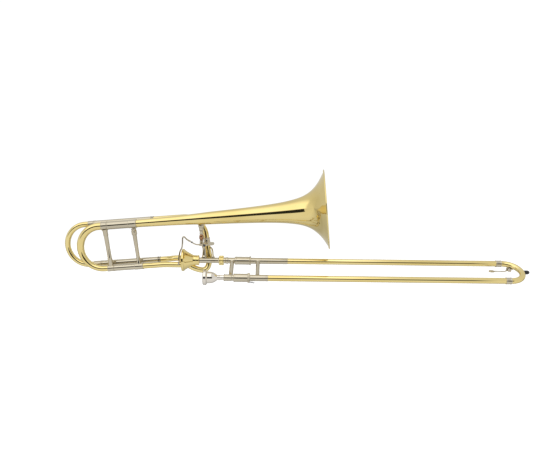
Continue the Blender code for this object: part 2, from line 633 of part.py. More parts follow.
EYE_R = 0.0060
EYE_BORE = 0.0046
linkage_rod = turned("linkage_rod",
                     [(-0.0018, EYE_BORE), (-0.0018, EYE_R), (0.0018, EYE_R), (0.0018, EYE_BORE)],
                     NICKEL, rod_axis, sides=14)
linkage_rod.location = eye
rod_path = curved([eye + Vector((0, 0, 0.0054)), rod_point(-0.1178, -0.0139, 0.0090),
                   rod_point(-0.1148, -0.0142, 0.0240), rod_point(-0.1102, -0.0150, 0.0335),
                   rod_point(-0.1086, -0.0165, 0.0460), rod_point(-0.1083, -0.0170, 0.0580),
                   rod_point(-0.1050, -0.0170, 0.0622), rod_point(-0.0988, -0.0170, 0.0567),
                   rod_point(-0.0962, -0.0170, 0.0545)], steps=3)
rod_wire = tool_rod("rod_wire", rod_path, 0.0017, rod_axis, 8)
combine(linkage_rod, rod_wire, "UNION")
adjuster_line = [rod_point(-0.0958, -0.0170, 0.0542), rod_point(-0.0865, -0.0170, 0.0494)]
adjuster = rod("rod_adjuster", [adjuster_line[0].lerp(adjuster_line[1], share)
                                for share in (0, 0.08, 0.16, 0.84, 0.92, 1)],
               [0.0018, 0.0024, 0.0024, 0.0024, 0.0024, 0.0018], NICKEL, rod_axis, sides=10)

# ---- main tuning slide -------------------------------------------------------------------------

turned("tuning_upper_leg",
       [(-0.1550, 0.0103), (-0.1550, 0.0110), (-0.1544, 0.0114), (-0.1391, 0.0114),
        (-0.1385, 0.0110), (-0.1385, 0.0099), (-0.0810, 0.0099), (-0.0810, 0.0094),
        (-0.1400, 0.0094), (-0.1404, 0.0103)],
       NICKEL, tuning_upper_axis, sides=20)
turned("tuning_lower_leg",
       [(-0.1520, 0.0080), (-0.1520, 0.0088), (-0.1514, 0.0092), (-0.1351, 0.0092),
        (-0.1345, 0.0088), (-0.1345, 0.00745), (-0.0785, 0.00745), (-0.0785, 0.0070),
        (-0.1360, 0.0070), (-0.1364, 0.0080)],
       NICKEL, tuning_slide_axis)
bow_top = Vector((-0.1621, 0, BELL_SPACING))
bow_bottom = Vector((-0.1621, 0, 0))
bow_path = ([Vector((-0.1408, 0, BELL_SPACING))]
            + half_circle(bow_top, bow_bottom, Vector((-1, 0, 0)), 12)
            + [Vector((-0.1368, 0, 0))])
pipe("tuning_bow", bow_path, [0.0100, 0.0100, 0.0099, 0.0091, 0.0079, 0.0077],
     [0.0095, 0.0095, 0.0094, 0.0086, 0.0074, 0.0072], BRASS, tuning_slide_axis)
TUNING_BRACE_X = -0.1432
brace("tuning_brace", Vector((TUNING_BRACE_X - 0.0040, 0, BELL_SPACING - 0.008)),
      Vector((TUNING_BRACE_X, 0, 0.006)), 0.0057, 0.0072,
      (Vector((TUNING_BRACE_X, 0, BELL_SPACING)), 0.0114 + GAP),
      (Vector((TUNING_BRACE_X, 0, 0)), 0.0092 + GAP), NICKEL, tuning_slide_axis)

# ---- F tuning slide ------------------------------------------------------------------------------

for tag, holder, ring_start, ring_end in (("upper", f_slide_upper, -0.1985, -0.1835),
                                          ("lower", f_slide_lower, -0.1970, -0.1770)):
    turned(f"f_{tag}_leg",
           [(ring_start, 0.0080), (ring_start, 0.0086), (ring_start + 0.0006, 0.0090),
            (ring_end - 0.0006, 0.0090), (ring_end, 0.0086), (ring_end, 0.00745),
            (-0.0600, 0.00745), (-0.0600, 0.0070), (ring_end - 0.0018, 0.0070),
            (ring_end - 0.0022, 0.0080)],
           NICKEL, holder)
F_BOW_CENTRE = -0.2093
f_bow_top = Vector((F_BOW_CENTRE, F_OFFSET, F_UPPER_Z))
f_bow_bottom = Vector((F_BOW_CENTRE, F_OFFSET, F_LOWER_Z))
f_bow_path = ([Vector((-0.1862, F_OFFSET, F_UPPER_Z))]
              + half_circle(f_bow_top, f_bow_bottom, Vector((-1, 0, 0)), 12)
              + [Vector((-0.1797, F_OFFSET, F_LOWER_Z))])
pipe("f_bow", f_bow_path, F_TUBE_R, F_BORE, BRASS, f_slide_axis)

# ---- bell lock and the inner hand slide ----------------------------------------------------------

turned("bell_lock_nut",
       [(-0.0125, 0.0106), (-0.0125, 0.0122), (-0.0117, 0.0130), (-0.0008, 0.0130),
        (0.0000, 0.0122), (0.0000, 0.0083), (-0.0010, 0.0083), (-0.0010, 0.0106)],
       BRASS, lock_nut_axis, sides=20)
turned("slide_tenon",
       [(-0.0450, 0.0056), (-0.0450, 0.0064), (-0.0034, 0.0065), (-0.0034, 0.0094),
        (-0.0014, 0.0094), (-0.0014, 0.0079), (0.0050, 0.0079), (0.0056, 0.0086),
        (0.0110, 0.0086), (0.0116, 0.0079), (0.0315, 0.0079), (0.0315, 0.0066)],
       NICKEL, swivel_axis)
for tag, holder, start in (("upper", swivel_axis, 0.0319), ("lower", lower_leg_axis, 0.0319)):
    turned(f"{tag}_inner_tube",
           [(start, INNER_TUBE_BORE), (start, INNER_TUBE_R), (0.640, INNER_TUBE_R),
            (0.641, INNER_TUBE_R + 0.0001), (0.7260, INNER_TUBE_R + 0.0001),
            (0.7265, INNER_TUBE_R - 0.0001), (0.7265, INNER_TUBE_BORE)],
           CHROME, holder)
    turned(f"{tag}_cork_ring", tube_outline(0.0350, 0.0485, 0.0093, INNER_TUBE_R + GAP),
           CORK, holder, sides=16)
BARREL_R = 0.0109
turned("upper_cork_barrel",
       [(0.0294, 0.0082), (0.0294, 0.0100), (0.0304, BARREL_R), (0.0680, BARREL_R),
        (0.0686, 0.0121), (0.0694, 0.0125), (0.0714, 0.0125), (0.0720, 0.0119), (0.0720, 0.0097),
        (0.0345, 0.0097), (0.0345, INNER_TUBE_R + GAP), (0.0328, INNER_TUBE_R + GAP),
        (0.0328, 0.0082)],
       NICKEL, swivel_axis)
turned("lower_cork_barrel",
       [(0.0298, 0.0083), (0.0298, 0.0100), (0.0308, BARREL_R), (0.0700, BARREL_R),
        (0.0705, 0.0104), (0.0705, 0.0097), (0.0345, 0.0097), (0.0345, INNER_TUBE_R + GAP),
        (0.0328, INNER_TUBE_R + GAP), (0.0328, 0.0083)],
       NICKEL, lower_leg_axis)

lock_ring = turned("slide_lock_ring", tube_outline(0.0655, 0.0715, 0.0127, BARREL_R + GAP, 0.0006),
                   NICKEL, lock_ring_axis, sides=20)
lock_tab = rod("lock_tab", [Vector((0.0692, 0.0049, -0.0112)), Vector((0.0760, 0.0052, -0.0122)),
                            Vector((0.0835, 0.0058, -0.0140))], [0.0009, 0.0018, 0.0014], None,
               lock_ring_axis, sides=8)
combine(lock_ring, lock_tab, "UNION")

turned("mouthpiece_receiver",
       [(0.0048, 0.0068), (0.0048, 0.0083), (0.0054, 0.0089), (0.0240, 0.0089), (0.0246, 0.0080),
        (0.0312, 0.0078), (0.0312, 0.0066), (0.0300, 0.0064)],
       NICKEL, lower_leg_axis)

for name, station, parent, slim, foot in (
        ("inner_slide_brace", 0.0222, swivel_axis, 0.0055, 0.0061),
        ("outer_slide_brace", 0.0906, hand_slide_axis, 0.0051, 0.0066)):
    upper_r = 0.0079 if parent is swivel_axis else SLEEVE_R
    lower_r = 0.0089 if parent is swivel_axis else SLEEVE_R
    brace(name, Vector((station, 0, -0.0050)), Vector((station, 0, 0.0050 - SLIDE_SPACING)), slim,
          foot, (Vector((station, 0, 0)), upper_r + GAP),
          (Vector((station, 0, -SLIDE_SPACING)), lower_r + GAP), NICKEL, parent)

# ---- mouthpiece ----------------------------------------------------------------------------------


def mouthpiece_outline():
    """Cup and backbore inside, rim, cup body and shank outside, from the shank's end round."""
    shank_end = 0.0296
    inside = [(shank_end, 0.0050), (-0.0080, 0.0036), (-0.0190, 0.0034)]
    cup_centre, cup_depth, cup_radius = -0.0440, 0.0235, 0.0124
    for turn in (20, 38, 56, 74, 90):
        inside.append((cup_centre + cup_depth * cos(radians(turn)),
                       cup_radius * sin(radians(turn)) ** 0.8))
    rim_centre, rim_middle, rim_half = -0.0440, 0.0161, 0.0036
    rim = []
    for turn in (165, 130, 90, 50, 15):
        rim.append((rim_centre - 0.0046 * sin(radians(turn)),
                    rim_middle + rim_half * cos(radians(turn))))
    outside = [(-0.0420, 0.0197), (-0.0395, 0.0192), (-0.0382, 0.0172), (-0.0366, 0.0151),
               (-0.0290, 0.0149), (-0.0260, 0.0146), (-0.0205, 0.0127), (-0.0157, 0.0099),
               (-0.0135, 0.0082), (-0.0118, 0.0070), (-0.0100, 0.0066), (-0.0085, 0.0072),
               (-0.0055, 0.0072), (-0.0045, 0.0066),
               (0.0020, 0.0065), (shank_end, 0.0060)]
    return inside + rim + outside


turned("mouthpiece", mouthpiece_outline(), SILVER, mouthpiece_axis, sides=24)

# ---- outer hand slide ----------------------------------------------------------------------------

for tag, holder, sleeve_end in (("upper", hand_slide_axis, 0.1698),
                                ("lower", hand_slide_lower, 0.1175)):
    turned(f"{tag}_outer_tube", tube_outline(SLIDE_START, SLIDE_END, SLIDE_TUBE_R, SLIDE_TUBE_BORE),
           BRASS, holder)
    turned(f"{tag}_slide_sleeve", tube_outline(SLIDE_START, sleeve_end, SLEEVE_R, SLIDE_TUBE_R + FIT),
           NICKEL, holder)
    turned(f"crook_{tag}_ferrule",
           tube_outline(0.7286, 0.7438, 0.0092, SLIDE_TUBE_R + FIT, 0.0006), NICKEL, holder)

crook_start = Vector((CROOK_CENTRE, 0, 0))
crook_end = Vector((CROOK_CENTRE, 0, -SLIDE_SPACING))
crook_path = ([Vector((SLIDE_END + GAP, 0, 0))]
              + half_circle(crook_start, crook_end, Vector((1, 0, 0)), 12)
              + [Vector((SLIDE_END + GAP, 0, -SLIDE_SPACING))])
pipe("slide_crook", crook_path, SLIDE_TUBE_R, 0.0073, BRASS, hand_slide_axis)
crook_cutter = tool_rod("crook_cutter", crook_path, SLIDE_TUBE_R + 1.5 * GAP, hand_slide_axis, 24)

CROOK_R = SLIDE_SPACING / 2
crook_nose = frame("crook_nose", Matrix.Translation((CROOK_CENTRE + CROOK_R, 0, -CROOK_R)),
                   hand_slide_axis)
bumper_base = turned("bumper_base",
                     [(0.0020, 0), (0.0020, 0.0042), (0.0100, 0.0042), (0.0100, 0)], NICKEL, crook_nose, sides=16)
combine(bumper_base, crook_cutter, "DIFFERENCE")
turned("rubber_bumper",
       [(0.0103, 0), (0.0103, 0.0045), (0.0081, 0.0045), (0.0081, 0.0051), (0.0115, 0.0053), (0.0165, 0.0051), (0.0188, 0.0041),
        (0.0200, 0.0026), (0.0200, 0)], RUBBER, crook_nose, sides=16)

# ---- water key -----------------------------------------------------------------------------------

KEY_TURN = radians(40)          # the nipple's place round the crook from the upper leg
KEY_LEAN = radians(57)          # of the nipple, from the slide's plane towards its underside
nipple_out = Vector((-sin(KEY_TURN) * cos(KEY_LEAN), sin(KEY_LEAN), -cos(KEY_TURN) * cos(KEY_LEAN)))
nipple_base = (Vector((CROOK_CENTRE, 0, -CROOK_R)) + Vector((sin(KEY_TURN), 0, cos(KEY_TURN))) * CROOK_R
               + nipple_out * SLIDE_TUBE_R)
KEY_RISE = asin(-nipple_out.x)  # of the lever's arm from the saddle, to run along the slide
key_side = (Vector((-1, 0, 0)) + nipple_out * nipple_out.x).normalized()
key_frame = frame("key_frame", Matrix.Translation(nipple_base)
                  @ Matrix((key_side, nipple_out.cross(key_side), nipple_out)).transposed().to_4x4(),
                  hand_slide_axis)
saddle = block("water_key_saddle", (-0.0050, -0.0050, -0.0040), (0.0100, 0.0050, 0.0024), 0.0010,
               NICKEL, key_frame)
combine(saddle, turned("key_nipple", [(-0.0010, 0), (-0.0010, 0.0036), (0.0054, 0.0030),
                                      (0.0054, 0)], None, key_frame, sides=14, axis="Z"), "UNION")
KEY_PADDLE_TILT = radians(25)   # of the lever's paddle, about its arm
PIVOT_OUT = 0.0080
for side in (-1, 1):
    ear = block(f"key_ear_{side}", (0.0065, side * 0.0041 - 0.0008, -0.0005),
                (0.0097, side * 0.0041 + 0.0008, PIVOT_OUT + 0.0018), 0.0003, None, key_frame)
    combine(saddle, ear, "UNION")
combine(saddle, crook_cutter, "DIFFERENCE")
nipple_bore = tool_rod("nipple_bore_cutter", [Vector((0, 0, -0.006)), Vector((0, 0, 0.006))], 0.0016,
                       key_frame, 10)
combine(saddle, nipple_bore, "DIFFERENCE")
water_key_axis = frame("water_key_axis", Matrix.Translation((0.0081, 0, PIVOT_OUT)), key_frame)
key_lever = turned("water_key_lever", [(-0.0030, 0), (-0.0030, 0.0016), (0.0030, 0.0016),
                                       (0.0030, 0)], NICKEL, water_key_axis, sides=10, axis="Y")
pad = turned("key_pad", [(-0.0021, 0), (-0.0021, 0.0034), (0.0004, 0.0036), (0.0012, 0.0020),
                         (0.0012, 0)], None, water_key_axis, sides=12, axis="Z")
pad.location = (-0.0081, 0, 0)
combine(key_lever, pad, "UNION")
combine(key_lever, tool_rod("key_link", [Vector((-0.0085, 0, 0.0002)), Vector((0.0006, 0, 0.0002))],
                            0.0013, water_key_axis, 8), "UNION")
arm_along = Vector((cos(KEY_RISE), 0, sin(KEY_RISE)))
arm_start = Vector((0, 0, 0.0034))
key_arm_path = curved([Vector((-0.0004, 0, 0.0004)), arm_start + arm_along * 0.0050,
                       arm_start + arm_along * 0.0180, arm_start + arm_along * 0.0330], steps=2)
combine(key_lever, tool_rod("key_arm", key_arm_path, 0.0014, water_key_axis, 8), "UNION")
paddle = block("key_paddle", (0.0, -0.0048, -0.0012), (0.0160, 0.0048, 0.0012), 0.0008, None,
               frame("paddle_tilt", Matrix.Translation(arm_start + arm_along * 0.0320)
                     @ Matrix.Rotation(-KEY_RISE, 4, "Y")
                     @ Matrix.Rotation(-KEY_PADDLE_TILT, 4, "X"), water_key_axis))
combine(key_lever, paddle, "UNION")
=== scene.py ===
"""Looks for the tenor trombone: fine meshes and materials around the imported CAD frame.

Every length is in metres, in the frame that the CAD uses: the origin is on the axis of the slide's
upper leg at the bell lock nut, +X runs towards the crook and +Z is up.
"""
import bmesh
import bpy
from math import asin, cos, pi, radians, sin, tan
from mathutils import Matrix, Vector


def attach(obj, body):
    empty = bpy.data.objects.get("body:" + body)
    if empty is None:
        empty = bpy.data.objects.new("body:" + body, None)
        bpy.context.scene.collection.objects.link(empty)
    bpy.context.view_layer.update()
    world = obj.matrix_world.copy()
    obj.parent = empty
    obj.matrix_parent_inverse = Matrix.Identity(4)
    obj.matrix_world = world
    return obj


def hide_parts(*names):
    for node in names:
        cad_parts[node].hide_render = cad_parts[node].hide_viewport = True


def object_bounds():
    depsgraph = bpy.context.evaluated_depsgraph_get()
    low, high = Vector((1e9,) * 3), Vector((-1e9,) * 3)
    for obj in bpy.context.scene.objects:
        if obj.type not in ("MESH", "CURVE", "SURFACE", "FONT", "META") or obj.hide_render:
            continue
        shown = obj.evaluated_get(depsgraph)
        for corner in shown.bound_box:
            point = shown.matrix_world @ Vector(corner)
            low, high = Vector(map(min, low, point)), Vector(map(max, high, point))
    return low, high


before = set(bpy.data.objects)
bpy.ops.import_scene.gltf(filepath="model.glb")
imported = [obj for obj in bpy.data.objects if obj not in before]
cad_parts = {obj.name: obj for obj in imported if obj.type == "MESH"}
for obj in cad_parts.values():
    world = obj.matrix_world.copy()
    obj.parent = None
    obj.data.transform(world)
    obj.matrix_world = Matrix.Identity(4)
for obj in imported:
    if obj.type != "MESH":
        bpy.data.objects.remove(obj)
CAD_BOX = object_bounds()

# ---- the CAD's own dimensions, repeated ----------------------------------------------------------
SLIDE_SPACING = 0.0805
BELL_SPACING = 0.1165
BELL_MOUTH = 0.4462
BELL_RADIUS = 0.1035
BELL_WALL = 0.0008
BEAD_R = 0.0017
BELL_STATIONS = (
    (-0.0582, 0.0102), (-0.022, 0.0108), (0.0445, 0.0122), (0.076, 0.0134), (0.108, 0.0150),
    (0.140, 0.0167), (0.204, 0.0191), (0.2675, 0.0222), (0.3145, 0.0257), (0.346, 0.0296),
    (0.3775, 0.0363), (0.400, 0.0460), (0.4155, 0.0580), (0.4285, 0.0730), (0.4385, 0.0890),
    (BELL_MOUTH - 0.0008, BELL_RADIUS - 0.0024))
TUBE_R = 0.00775
TUBE_BORE = 0.0074
CROOK_BORE = 0.0073
SLEEVE_R = 0.00825
F_R = 0.00765
F_BORE = 0.0071
F_SLEEVE_R = 0.0083
NECK_R = 0.0075
NECK_BORE = 0.0070
F_OFFSET = 0.0236
F_LOWER_Z = 0.0092
F_UPPER_Z = BELL_SPACING + 0.0041
CROOK_CENTRE = 0.7447
SLIDE_END = 0.7366
CROOK_R = SLIDE_SPACING / 2
PLATE_REAR = -0.1110
VALVE_REAR = -0.1092
MAIN_PORT = Vector((PLATE_REAR, 0.0120, -0.0136))
F_PORT = Vector((PLATE_REAR, 0.0175, 0.0040))
LEVER_PIVOT = Vector((-0.0510, -0.0170, 0.0400))
ROD_TOP = Vector((-0.0840, -0.0170, 0.0480))
ARM_BALL_X = -0.1182
ARM_ANGLE = radians(203.6)
ARM_LENGTH = 0.0150

BELL = (Matrix.Translation((-0.1625, 0.0120, -0.0136)) @ Matrix.Rotation(radians(-5.4), 4, "Z")
        @ Matrix.Rotation(radians(-4.9), 4, "Y") @ Matrix.Rotation(radians(10.5), 4, "X"))
SLIDE = Matrix.Rotation(radians(-60.5), 4, "X")
LOWER_LEG = SLIDE @ Matrix.Translation((0, 0, -SLIDE_SPACING))
BELL_AXIS = BELL @ Matrix.Translation((0, 0, BELL_SPACING))
F_UPPER = BELL @ Matrix.Translation((0, F_OFFSET, F_UPPER_Z))
F_LOWER = BELL @ Matrix.Translation((0, F_OFFSET, F_LOWER_Z))
HERE = Matrix.Identity(4)

CREASE = radians(32)            # an edge sharper than this stays sharp
FLOOR_SIZE = 14.0
FLOOR_DROP = 0.42               # from the lowest point of the CAD to the floor
DARKNESS = 0.97                 # of the gap between the banks of light
PAPER_WHITE = 1.05              # what the camera sees past the trombone
LENS = 39.08                    # in millimetres, over a sensor 36 wide
CAMERA = (0.1072, -1.5948, 0.0963)
CAMERA_YAW = radians(1.0)
CAMERA_ROLL = radians(0.76)

# ---- materials -----------------------------------------------------------------------------------


class Graph:
    """A short way to add and wire the nodes of a material or a world."""

    def __init__(self, tree):
        self.tree = tree

    def add(self, kind, **values):
        node = self.tree.nodes.new(kind)
        for key, value in values.items():
            setattr(node, key, value)
        return node

    def link(self, source, target):
        self.tree.links.new(source, target)

    def ramp(self, source, stops):
        """Colours or greys along a value."""
        node = self.add("ShaderNodeValToRGB")
        band = node.color_ramp
        while len(band.elements) < len(stops):
            band.elements.new(0.5)
        for element, (place, colour) in zip(band.elements, stops):
            element.position = place
            if isinstance(colour, (int, float)):
                colour = (colour, colour, colour)
            element.color = (*colour, 1.0)
        self.link(source, node.inputs["Fac"])
        return node.outputs["Color"]


class Surface(Graph):
    """One material, with its shader and the place on the piece."""

    def __init__(self, name):
        self.material = bpy.data.materials.new(name)
        self.material.use_nodes = True
        super().__init__(self.material.node_tree)
        self.shader = self.tree.nodes["Principled BSDF"]
        self.where = self.add("ShaderNodeTexCoord").outputs["Object"]

    def noise(self, scale, detail=3.0, stretch=(1, 1, 1), rough=0.5):
        mapping = self.add("ShaderNodeMapping")
        mapping.inputs["Scale"].default_value = stretch
        self.link(self.where, mapping.inputs["Vector"])
        texture = self.add("ShaderNodeTexNoise")
        texture.inputs["Scale"].default_value = scale
        texture.inputs["Detail"].default_value = detail
        texture.inputs["Roughness"].default_value = rough
        self.link(mapping.outputs["Vector"], texture.inputs["Vector"])
        return texture.outputs["Fac"]

    def vary(self, source, stops, socket):
        """Drives a socket of the shader by a ramp over a value."""
        self.link(self.ramp(source, stops), self.shader.inputs[socket])

    def bump(self, height, strength, distance, below=None):
        node = self.add("ShaderNodeBump")
        node.inputs["Strength"].default_value = strength
        node.inputs["Distance"].default_value = distance
        self.link(height, node.inputs["Height"])
        if below is not None:
            self.link(below, node.inputs["Normal"])
        return node.outputs["Normal"]

    def set(self, **values):
        for key, value in values.items():
            self.shader.inputs[key.replace("_", " ")].default_value = value


def metal(name, dark, mid, light, rough, coat=0.0, wobble=0.02, grain=0.03):
    """Polished metal: slow changes of tint, patches of handling haze, buffing lines, faint waviness."""
    made = Surface(name)
    made.set(Metallic=1.0, Coat_Weight=coat, Coat_Roughness=0.04, Coat_IOR=1.5)
    tint = made.noise(9.0, 4.0, (0.5, 1, 1))
    made.vary(tint, [(0.30, dark), (0.52, mid), (0.75, light)], "Base Color")
    haze = made.noise(38.0, 6.0, (0.4, 1, 1), 0.62)
    made.vary(haze, [(0.35, rough * 0.72), (0.60, rough), (0.80, rough * 1.55)], "Roughness")
    slow = made.bump(made.noise(28.0, 2.0), wobble, 0.002)
    fine = made.bump(made.noise(900.0, 2.0, (0.06, 1, 1)), grain, 0.0002, slow)
    made.link(fine, made.shader.inputs["Normal"])
    return made.material


def rubber_material():
    made = Surface("look_black_rubber")
    made.set(Metallic=0.0, Specular_IOR_Level=0.4)
    made.vary(made.noise(60.0, 5.0), [(0.3, (0.010, 0.010, 0.011)), (0.7, (0.026, 0.026, 0.027))],
              "Base Color")
    made.vary(made.noise(140.0, 4.0), [(0.3, 0.38), (0.7, 0.62)], "Roughness")
    made.link(made.bump(made.noise(1400.0, 3.0), 0.25, 0.0003), made.shader.inputs["Normal"])
    return made.material


def cork_material():
    made = Surface("look_cork")
    made.set(Metallic=0.0, Roughness=0.85)
    cells = made.add("ShaderNodeTexVoronoi", feature="F1")
    cells.inputs["Scale"].default_value = 900.0
    made.link(made.where, cells.inputs["Vector"])
    made.vary(cells.outputs["Distance"],
              [(0.1, (0.66, 0.46, 0.28)), (0.6, (0.55, 0.36, 0.21)), (0.9, (0.28, 0.17, 0.10))],
              "Base Color")
    made.link(made.bump(cells.outputs["Distance"], 0.5, 0.0004), made.shader.inputs["Normal"])
    return made.material


SLOTS = {
    "lacquered_brass": metal("look_lacquered_brass", (0.80, 0.63, 0.24), (0.87, 0.71, 0.31),
                             (0.92, 0.78, 0.38), 0.05, coat=0.15, wobble=0.012, grain=0.012),
    "nickel_silver": metal("look_nickel_silver", (0.54, 0.48, 0.36), (0.61, 0.55, 0.42),
                           (0.68, 0.62, 0.49), 0.07, wobble=0.010, grain=0.015),
    "chromed_tube": metal("look_chromed_tube", (0.58, 0.57, 0.54), (0.66, 0.65, 0.62),
                          (0.72, 0.71, 0.69), 0.09, grain=0.05),
    "silver_plate": metal("look_silver_plate", (0.74, 0.69, 0.61), (0.82, 0.77, 0.69),
                          (0.88, 0.84, 0.77), 0.07, wobble=0.01),
    "copper": metal("look_copper", (0.34, 0.17, 0.08), (0.44, 0.24, 0.12), (0.52, 0.31, 0.17), 0.14,
                    coat=0.1),
    "spring_steel": metal("look_spring_steel", (0.40, 0.40, 0.41), (0.52, 0.52, 0.53),
                          (0.62, 0.62, 0.62), 0.25),
    "cork": cork_material(),
    "black_rubber": rubber_material(),
}

# ---- meshes --------------------------------------------------------------------------------------


def aimed(start, direction, axis="Z", up="X"):
    """A frame at start with its axis along the direction."""
    return Matrix.Translation(start) @ direction.to_track_quat(axis, up).to_matrix().to_4x4()


def keep(name, work, slot, body):
    """Makes a piece of a finished bmesh. One named after a CAD node plus _look replaces that node."""
    bmesh.ops.recalc_face_normals(work, faces=work.faces)
    mesh = bpy.data.meshes.new(name)
    work.to_mesh(mesh)
    work.free()
    mesh.materials.append(SLOTS[slot])
    mesh.shade_smooth()
    mesh.set_sharp_from_angle(angle=CREASE)
    piece = bpy.data.objects.new(name, mesh)
    bpy.context.scene.collection.objects.link(piece)
    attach(piece, body)
    if name.endswith("_look"):
        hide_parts(name.removesuffix("_look"))
    return piece


def skin(work, rings, closed, capped, matrix=HERE):
    """Adds the skin over a row of vertex rings to the bmesh."""
    made = [[work.verts.new(matrix @ point) for point in ring] for ring in rings]
    pairs = list(zip(made, made[1:]))
    if closed:
        pairs.append((made[-1], made[0]))
    for near, far in pairs:
        for side in range(max(len(near), len(far))):
            after = (side + 1) % max(len(near), len(far))
            if len(near) == 1:
                corners = (near[0], far[after], far[side])
            elif len(far) == 1:
                corners = (near[side], near[after], far[0])
            else:
                corners = (near[side], near[after], far[after], far[side])
            work.faces.new(corners)
    if capped:
        work.faces.new(list(reversed(made[0])))
        work.faces.new(made[-1])


def softened(outline, amount, closed):
    """The outline with each real corner rounded by up to amount."""
    made = []
    count = len(outline)
    for index, here in enumerate(outline):
        if not closed and index in (0, count - 1):
            made.append(here)
            continue
        here = Vector(here)
        before = Vector(outline[index - 1])
        after = Vector(outline[(index + 1) % count])
        back, ahead = before - here, after - here
        if min(back.length, ahead.length) < 1e-7 or back.angle(ahead) > radians(160):
            made.append(tuple(here))
            continue
        reach = min(amount, back.length * 0.45, ahead.length * 0.45)
        start = here + back.normalized() * reach
        end = here + ahead.normalized() * reach
        for t in (0.0, 0.33, 0.67, 1.0):
            point = start * (1 - t) ** 2 + here * 2 * t * (1 - t) + end * t ** 2
            made.append(tuple(point))
    return made


def turn_into(work, outline, matrix=HERE, sides=64, axis="X", soft=0.0003):
    """Turns an outline of (along, radius) about an axis. One that starts off the axis is hollow."""
    hollow = outline[0][1] > 0
    profile = softened(outline, soft, hollow) if soft else outline
    rings = []
    for along, radius in profile:
        ring = []
        for side in range(sides if radius > 1e-9 else 1):
            turn = 2 * pi * side / sides
            across, up = radius * cos(turn), radius * sin(turn)
            place = {"X": (along, across, up), "Y": (up, along, across), "Z": (across, up, along)}
            ring.append(Vector(place[axis]))
        rings.append(ring)
    skin(work, rings, closed=hollow, capped=False, matrix=matrix)


def lathe(name, outline, slot, body, matrix=HERE, sides=64, axis="X", soft=0.0003):
    work = bmesh.new()
    turn_into(work, outline, matrix, sides, axis, soft)
    return keep(name, work, slot, body)


def tube_outline(start, end, outer, bore, *beads):
    """A plain tube or sleeve, with round beads at (place, half width, height)."""
    outline = [(start, bore), (start, outer)]
    for place, half, height in beads:
        for turn in range(0, 181, 20):
            outline.append((place - half * cos(radians(turn)), outer + height * sin(radians(turn))))
    return outline + [(end, outer), (end, bore)]


def smooth_radius(stations, along):
    last = len(stations) - 1
    index = 0
    while index < last - 1 and along > stations[index + 1][0]:
        index += 1
    x0, r0 = stations[index]
    x1, r1 = stations[index + 1]
    xa, ra = stations[max(index - 1, 0)]
    xb, rb = stations[min(index + 2, last)]
    slope0 = (r1 - ra) / (x1 - xa)
    slope1 = (rb - r0) / (xb - x0)
    step = x1 - x0
    t = (along - x0) / step
    return ((2 * t ** 3 - 3 * t ** 2 + 1) * r0 + (t ** 3 - 2 * t ** 2 + t) * step * slope0
            + (3 * t ** 2 - 2 * t ** 3) * r1 + (t ** 3 - t ** 2) * step * slope1)


def arc(centre, start, end, steps):
    points = []
    for step in range(steps + 1):
        points.append(centre + start.normalized().slerp(end.normalized(), step / steps)
                      * start.length)
    return points


def rounded(corners, radius, steps=14):
    path = [corners[0]]
    for before, corner, after in zip(corners, corners[1:], corners[2:]):
        back = (before - corner).normalized()
        ahead = (after - corner).normalized()
        half = back.angle(ahead) / 2
        reach = radius / tan(half)
        centre = corner + (back + ahead).normalized() * (radius / sin(half))
        path += arc(centre, corner + back * reach - centre, corner + ahead * reach - centre, steps)
    path.append(corners[-1])
    return path


def curved(points, steps=8):
    """A smooth path through the points."""
    points = [Vector(point) for point in points]
    ends = [points[0] * 2 - points[1], *points, points[-1] * 2 - points[-2]]
    path = []
    for before, here, there, after in zip(ends, ends[1:], ends[2:], ends[3:]):
        for step in range(steps):
            t = step / steps
            path.append(0.5 * (here * 2 + (there - before) * t
                               + (before * 2 - here * 5 + there * 4 - after) * t ** 2
                               + (here * 3 - before - there * 3 + after) * t ** 3))
    path.append(points[-1])
    return path


def half_circle(start, end, outward, steps=48):
    centre = (start + end) / 2
    radius = (start - end).length / 2
    points = []
    for step in range(steps + 1):
        turn = pi * step / steps
        points.append(centre + (start - centre) * cos(turn) + outward * radius * sin(turn))
    return points


def along_path(path, value):
    """A radius for each point of a path, from one number or a row spread evenly by length."""
    if isinstance(value, float):
        return [value] * len(path)
    reach = [0.0]
    for before, after in zip(path, path[1:]):
        reach.append(reach[-1] + (after - before).length)
    radii = []
    for distance in reach:
        place = distance / reach[-1] * (len(value) - 1)
        low = min(int(place), len(value) - 2)
        t = place - low
        t = t * t * (3 - 2 * t)
        radii.append(value[low] + (value[low + 1] - value[low]) * t)
    return radii


def path_rings(path, radii, sides):
    rings = []
    ahead = (path[1] - path[0]).normalized()
    across = ahead.orthogonal().normalized()
    for index, point in enumerate(path):
        before = path[max(index - 1, 0)]
        after = path[min(index + 1, len(path) - 1)]
        along = (after - before).normalized()
        across.rotate(ahead.rotation_difference(along))
        ahead = along
        up = along.cross(across)
        ring = []
        for side in range(sides):
            turn = 2 * pi * side / sides
            ring.append(point + (across * cos(turn) + up * sin(turn)) * radii[index])
        rings.append(ring)
    return rings


def pipe(name, path, outer, bore, slot, body, matrix=HERE, sides=48):
    """A hollow tube along a path."""
    outside = path_rings(path, along_path(path, outer), sides)
    inside = path_rings(path, along_path(path, bore), sides)
    work = bmesh.new()
    skin(work, outside + list(reversed(inside)), closed=True, capped=False, matrix=matrix)
    return keep(name, work, slot, body)


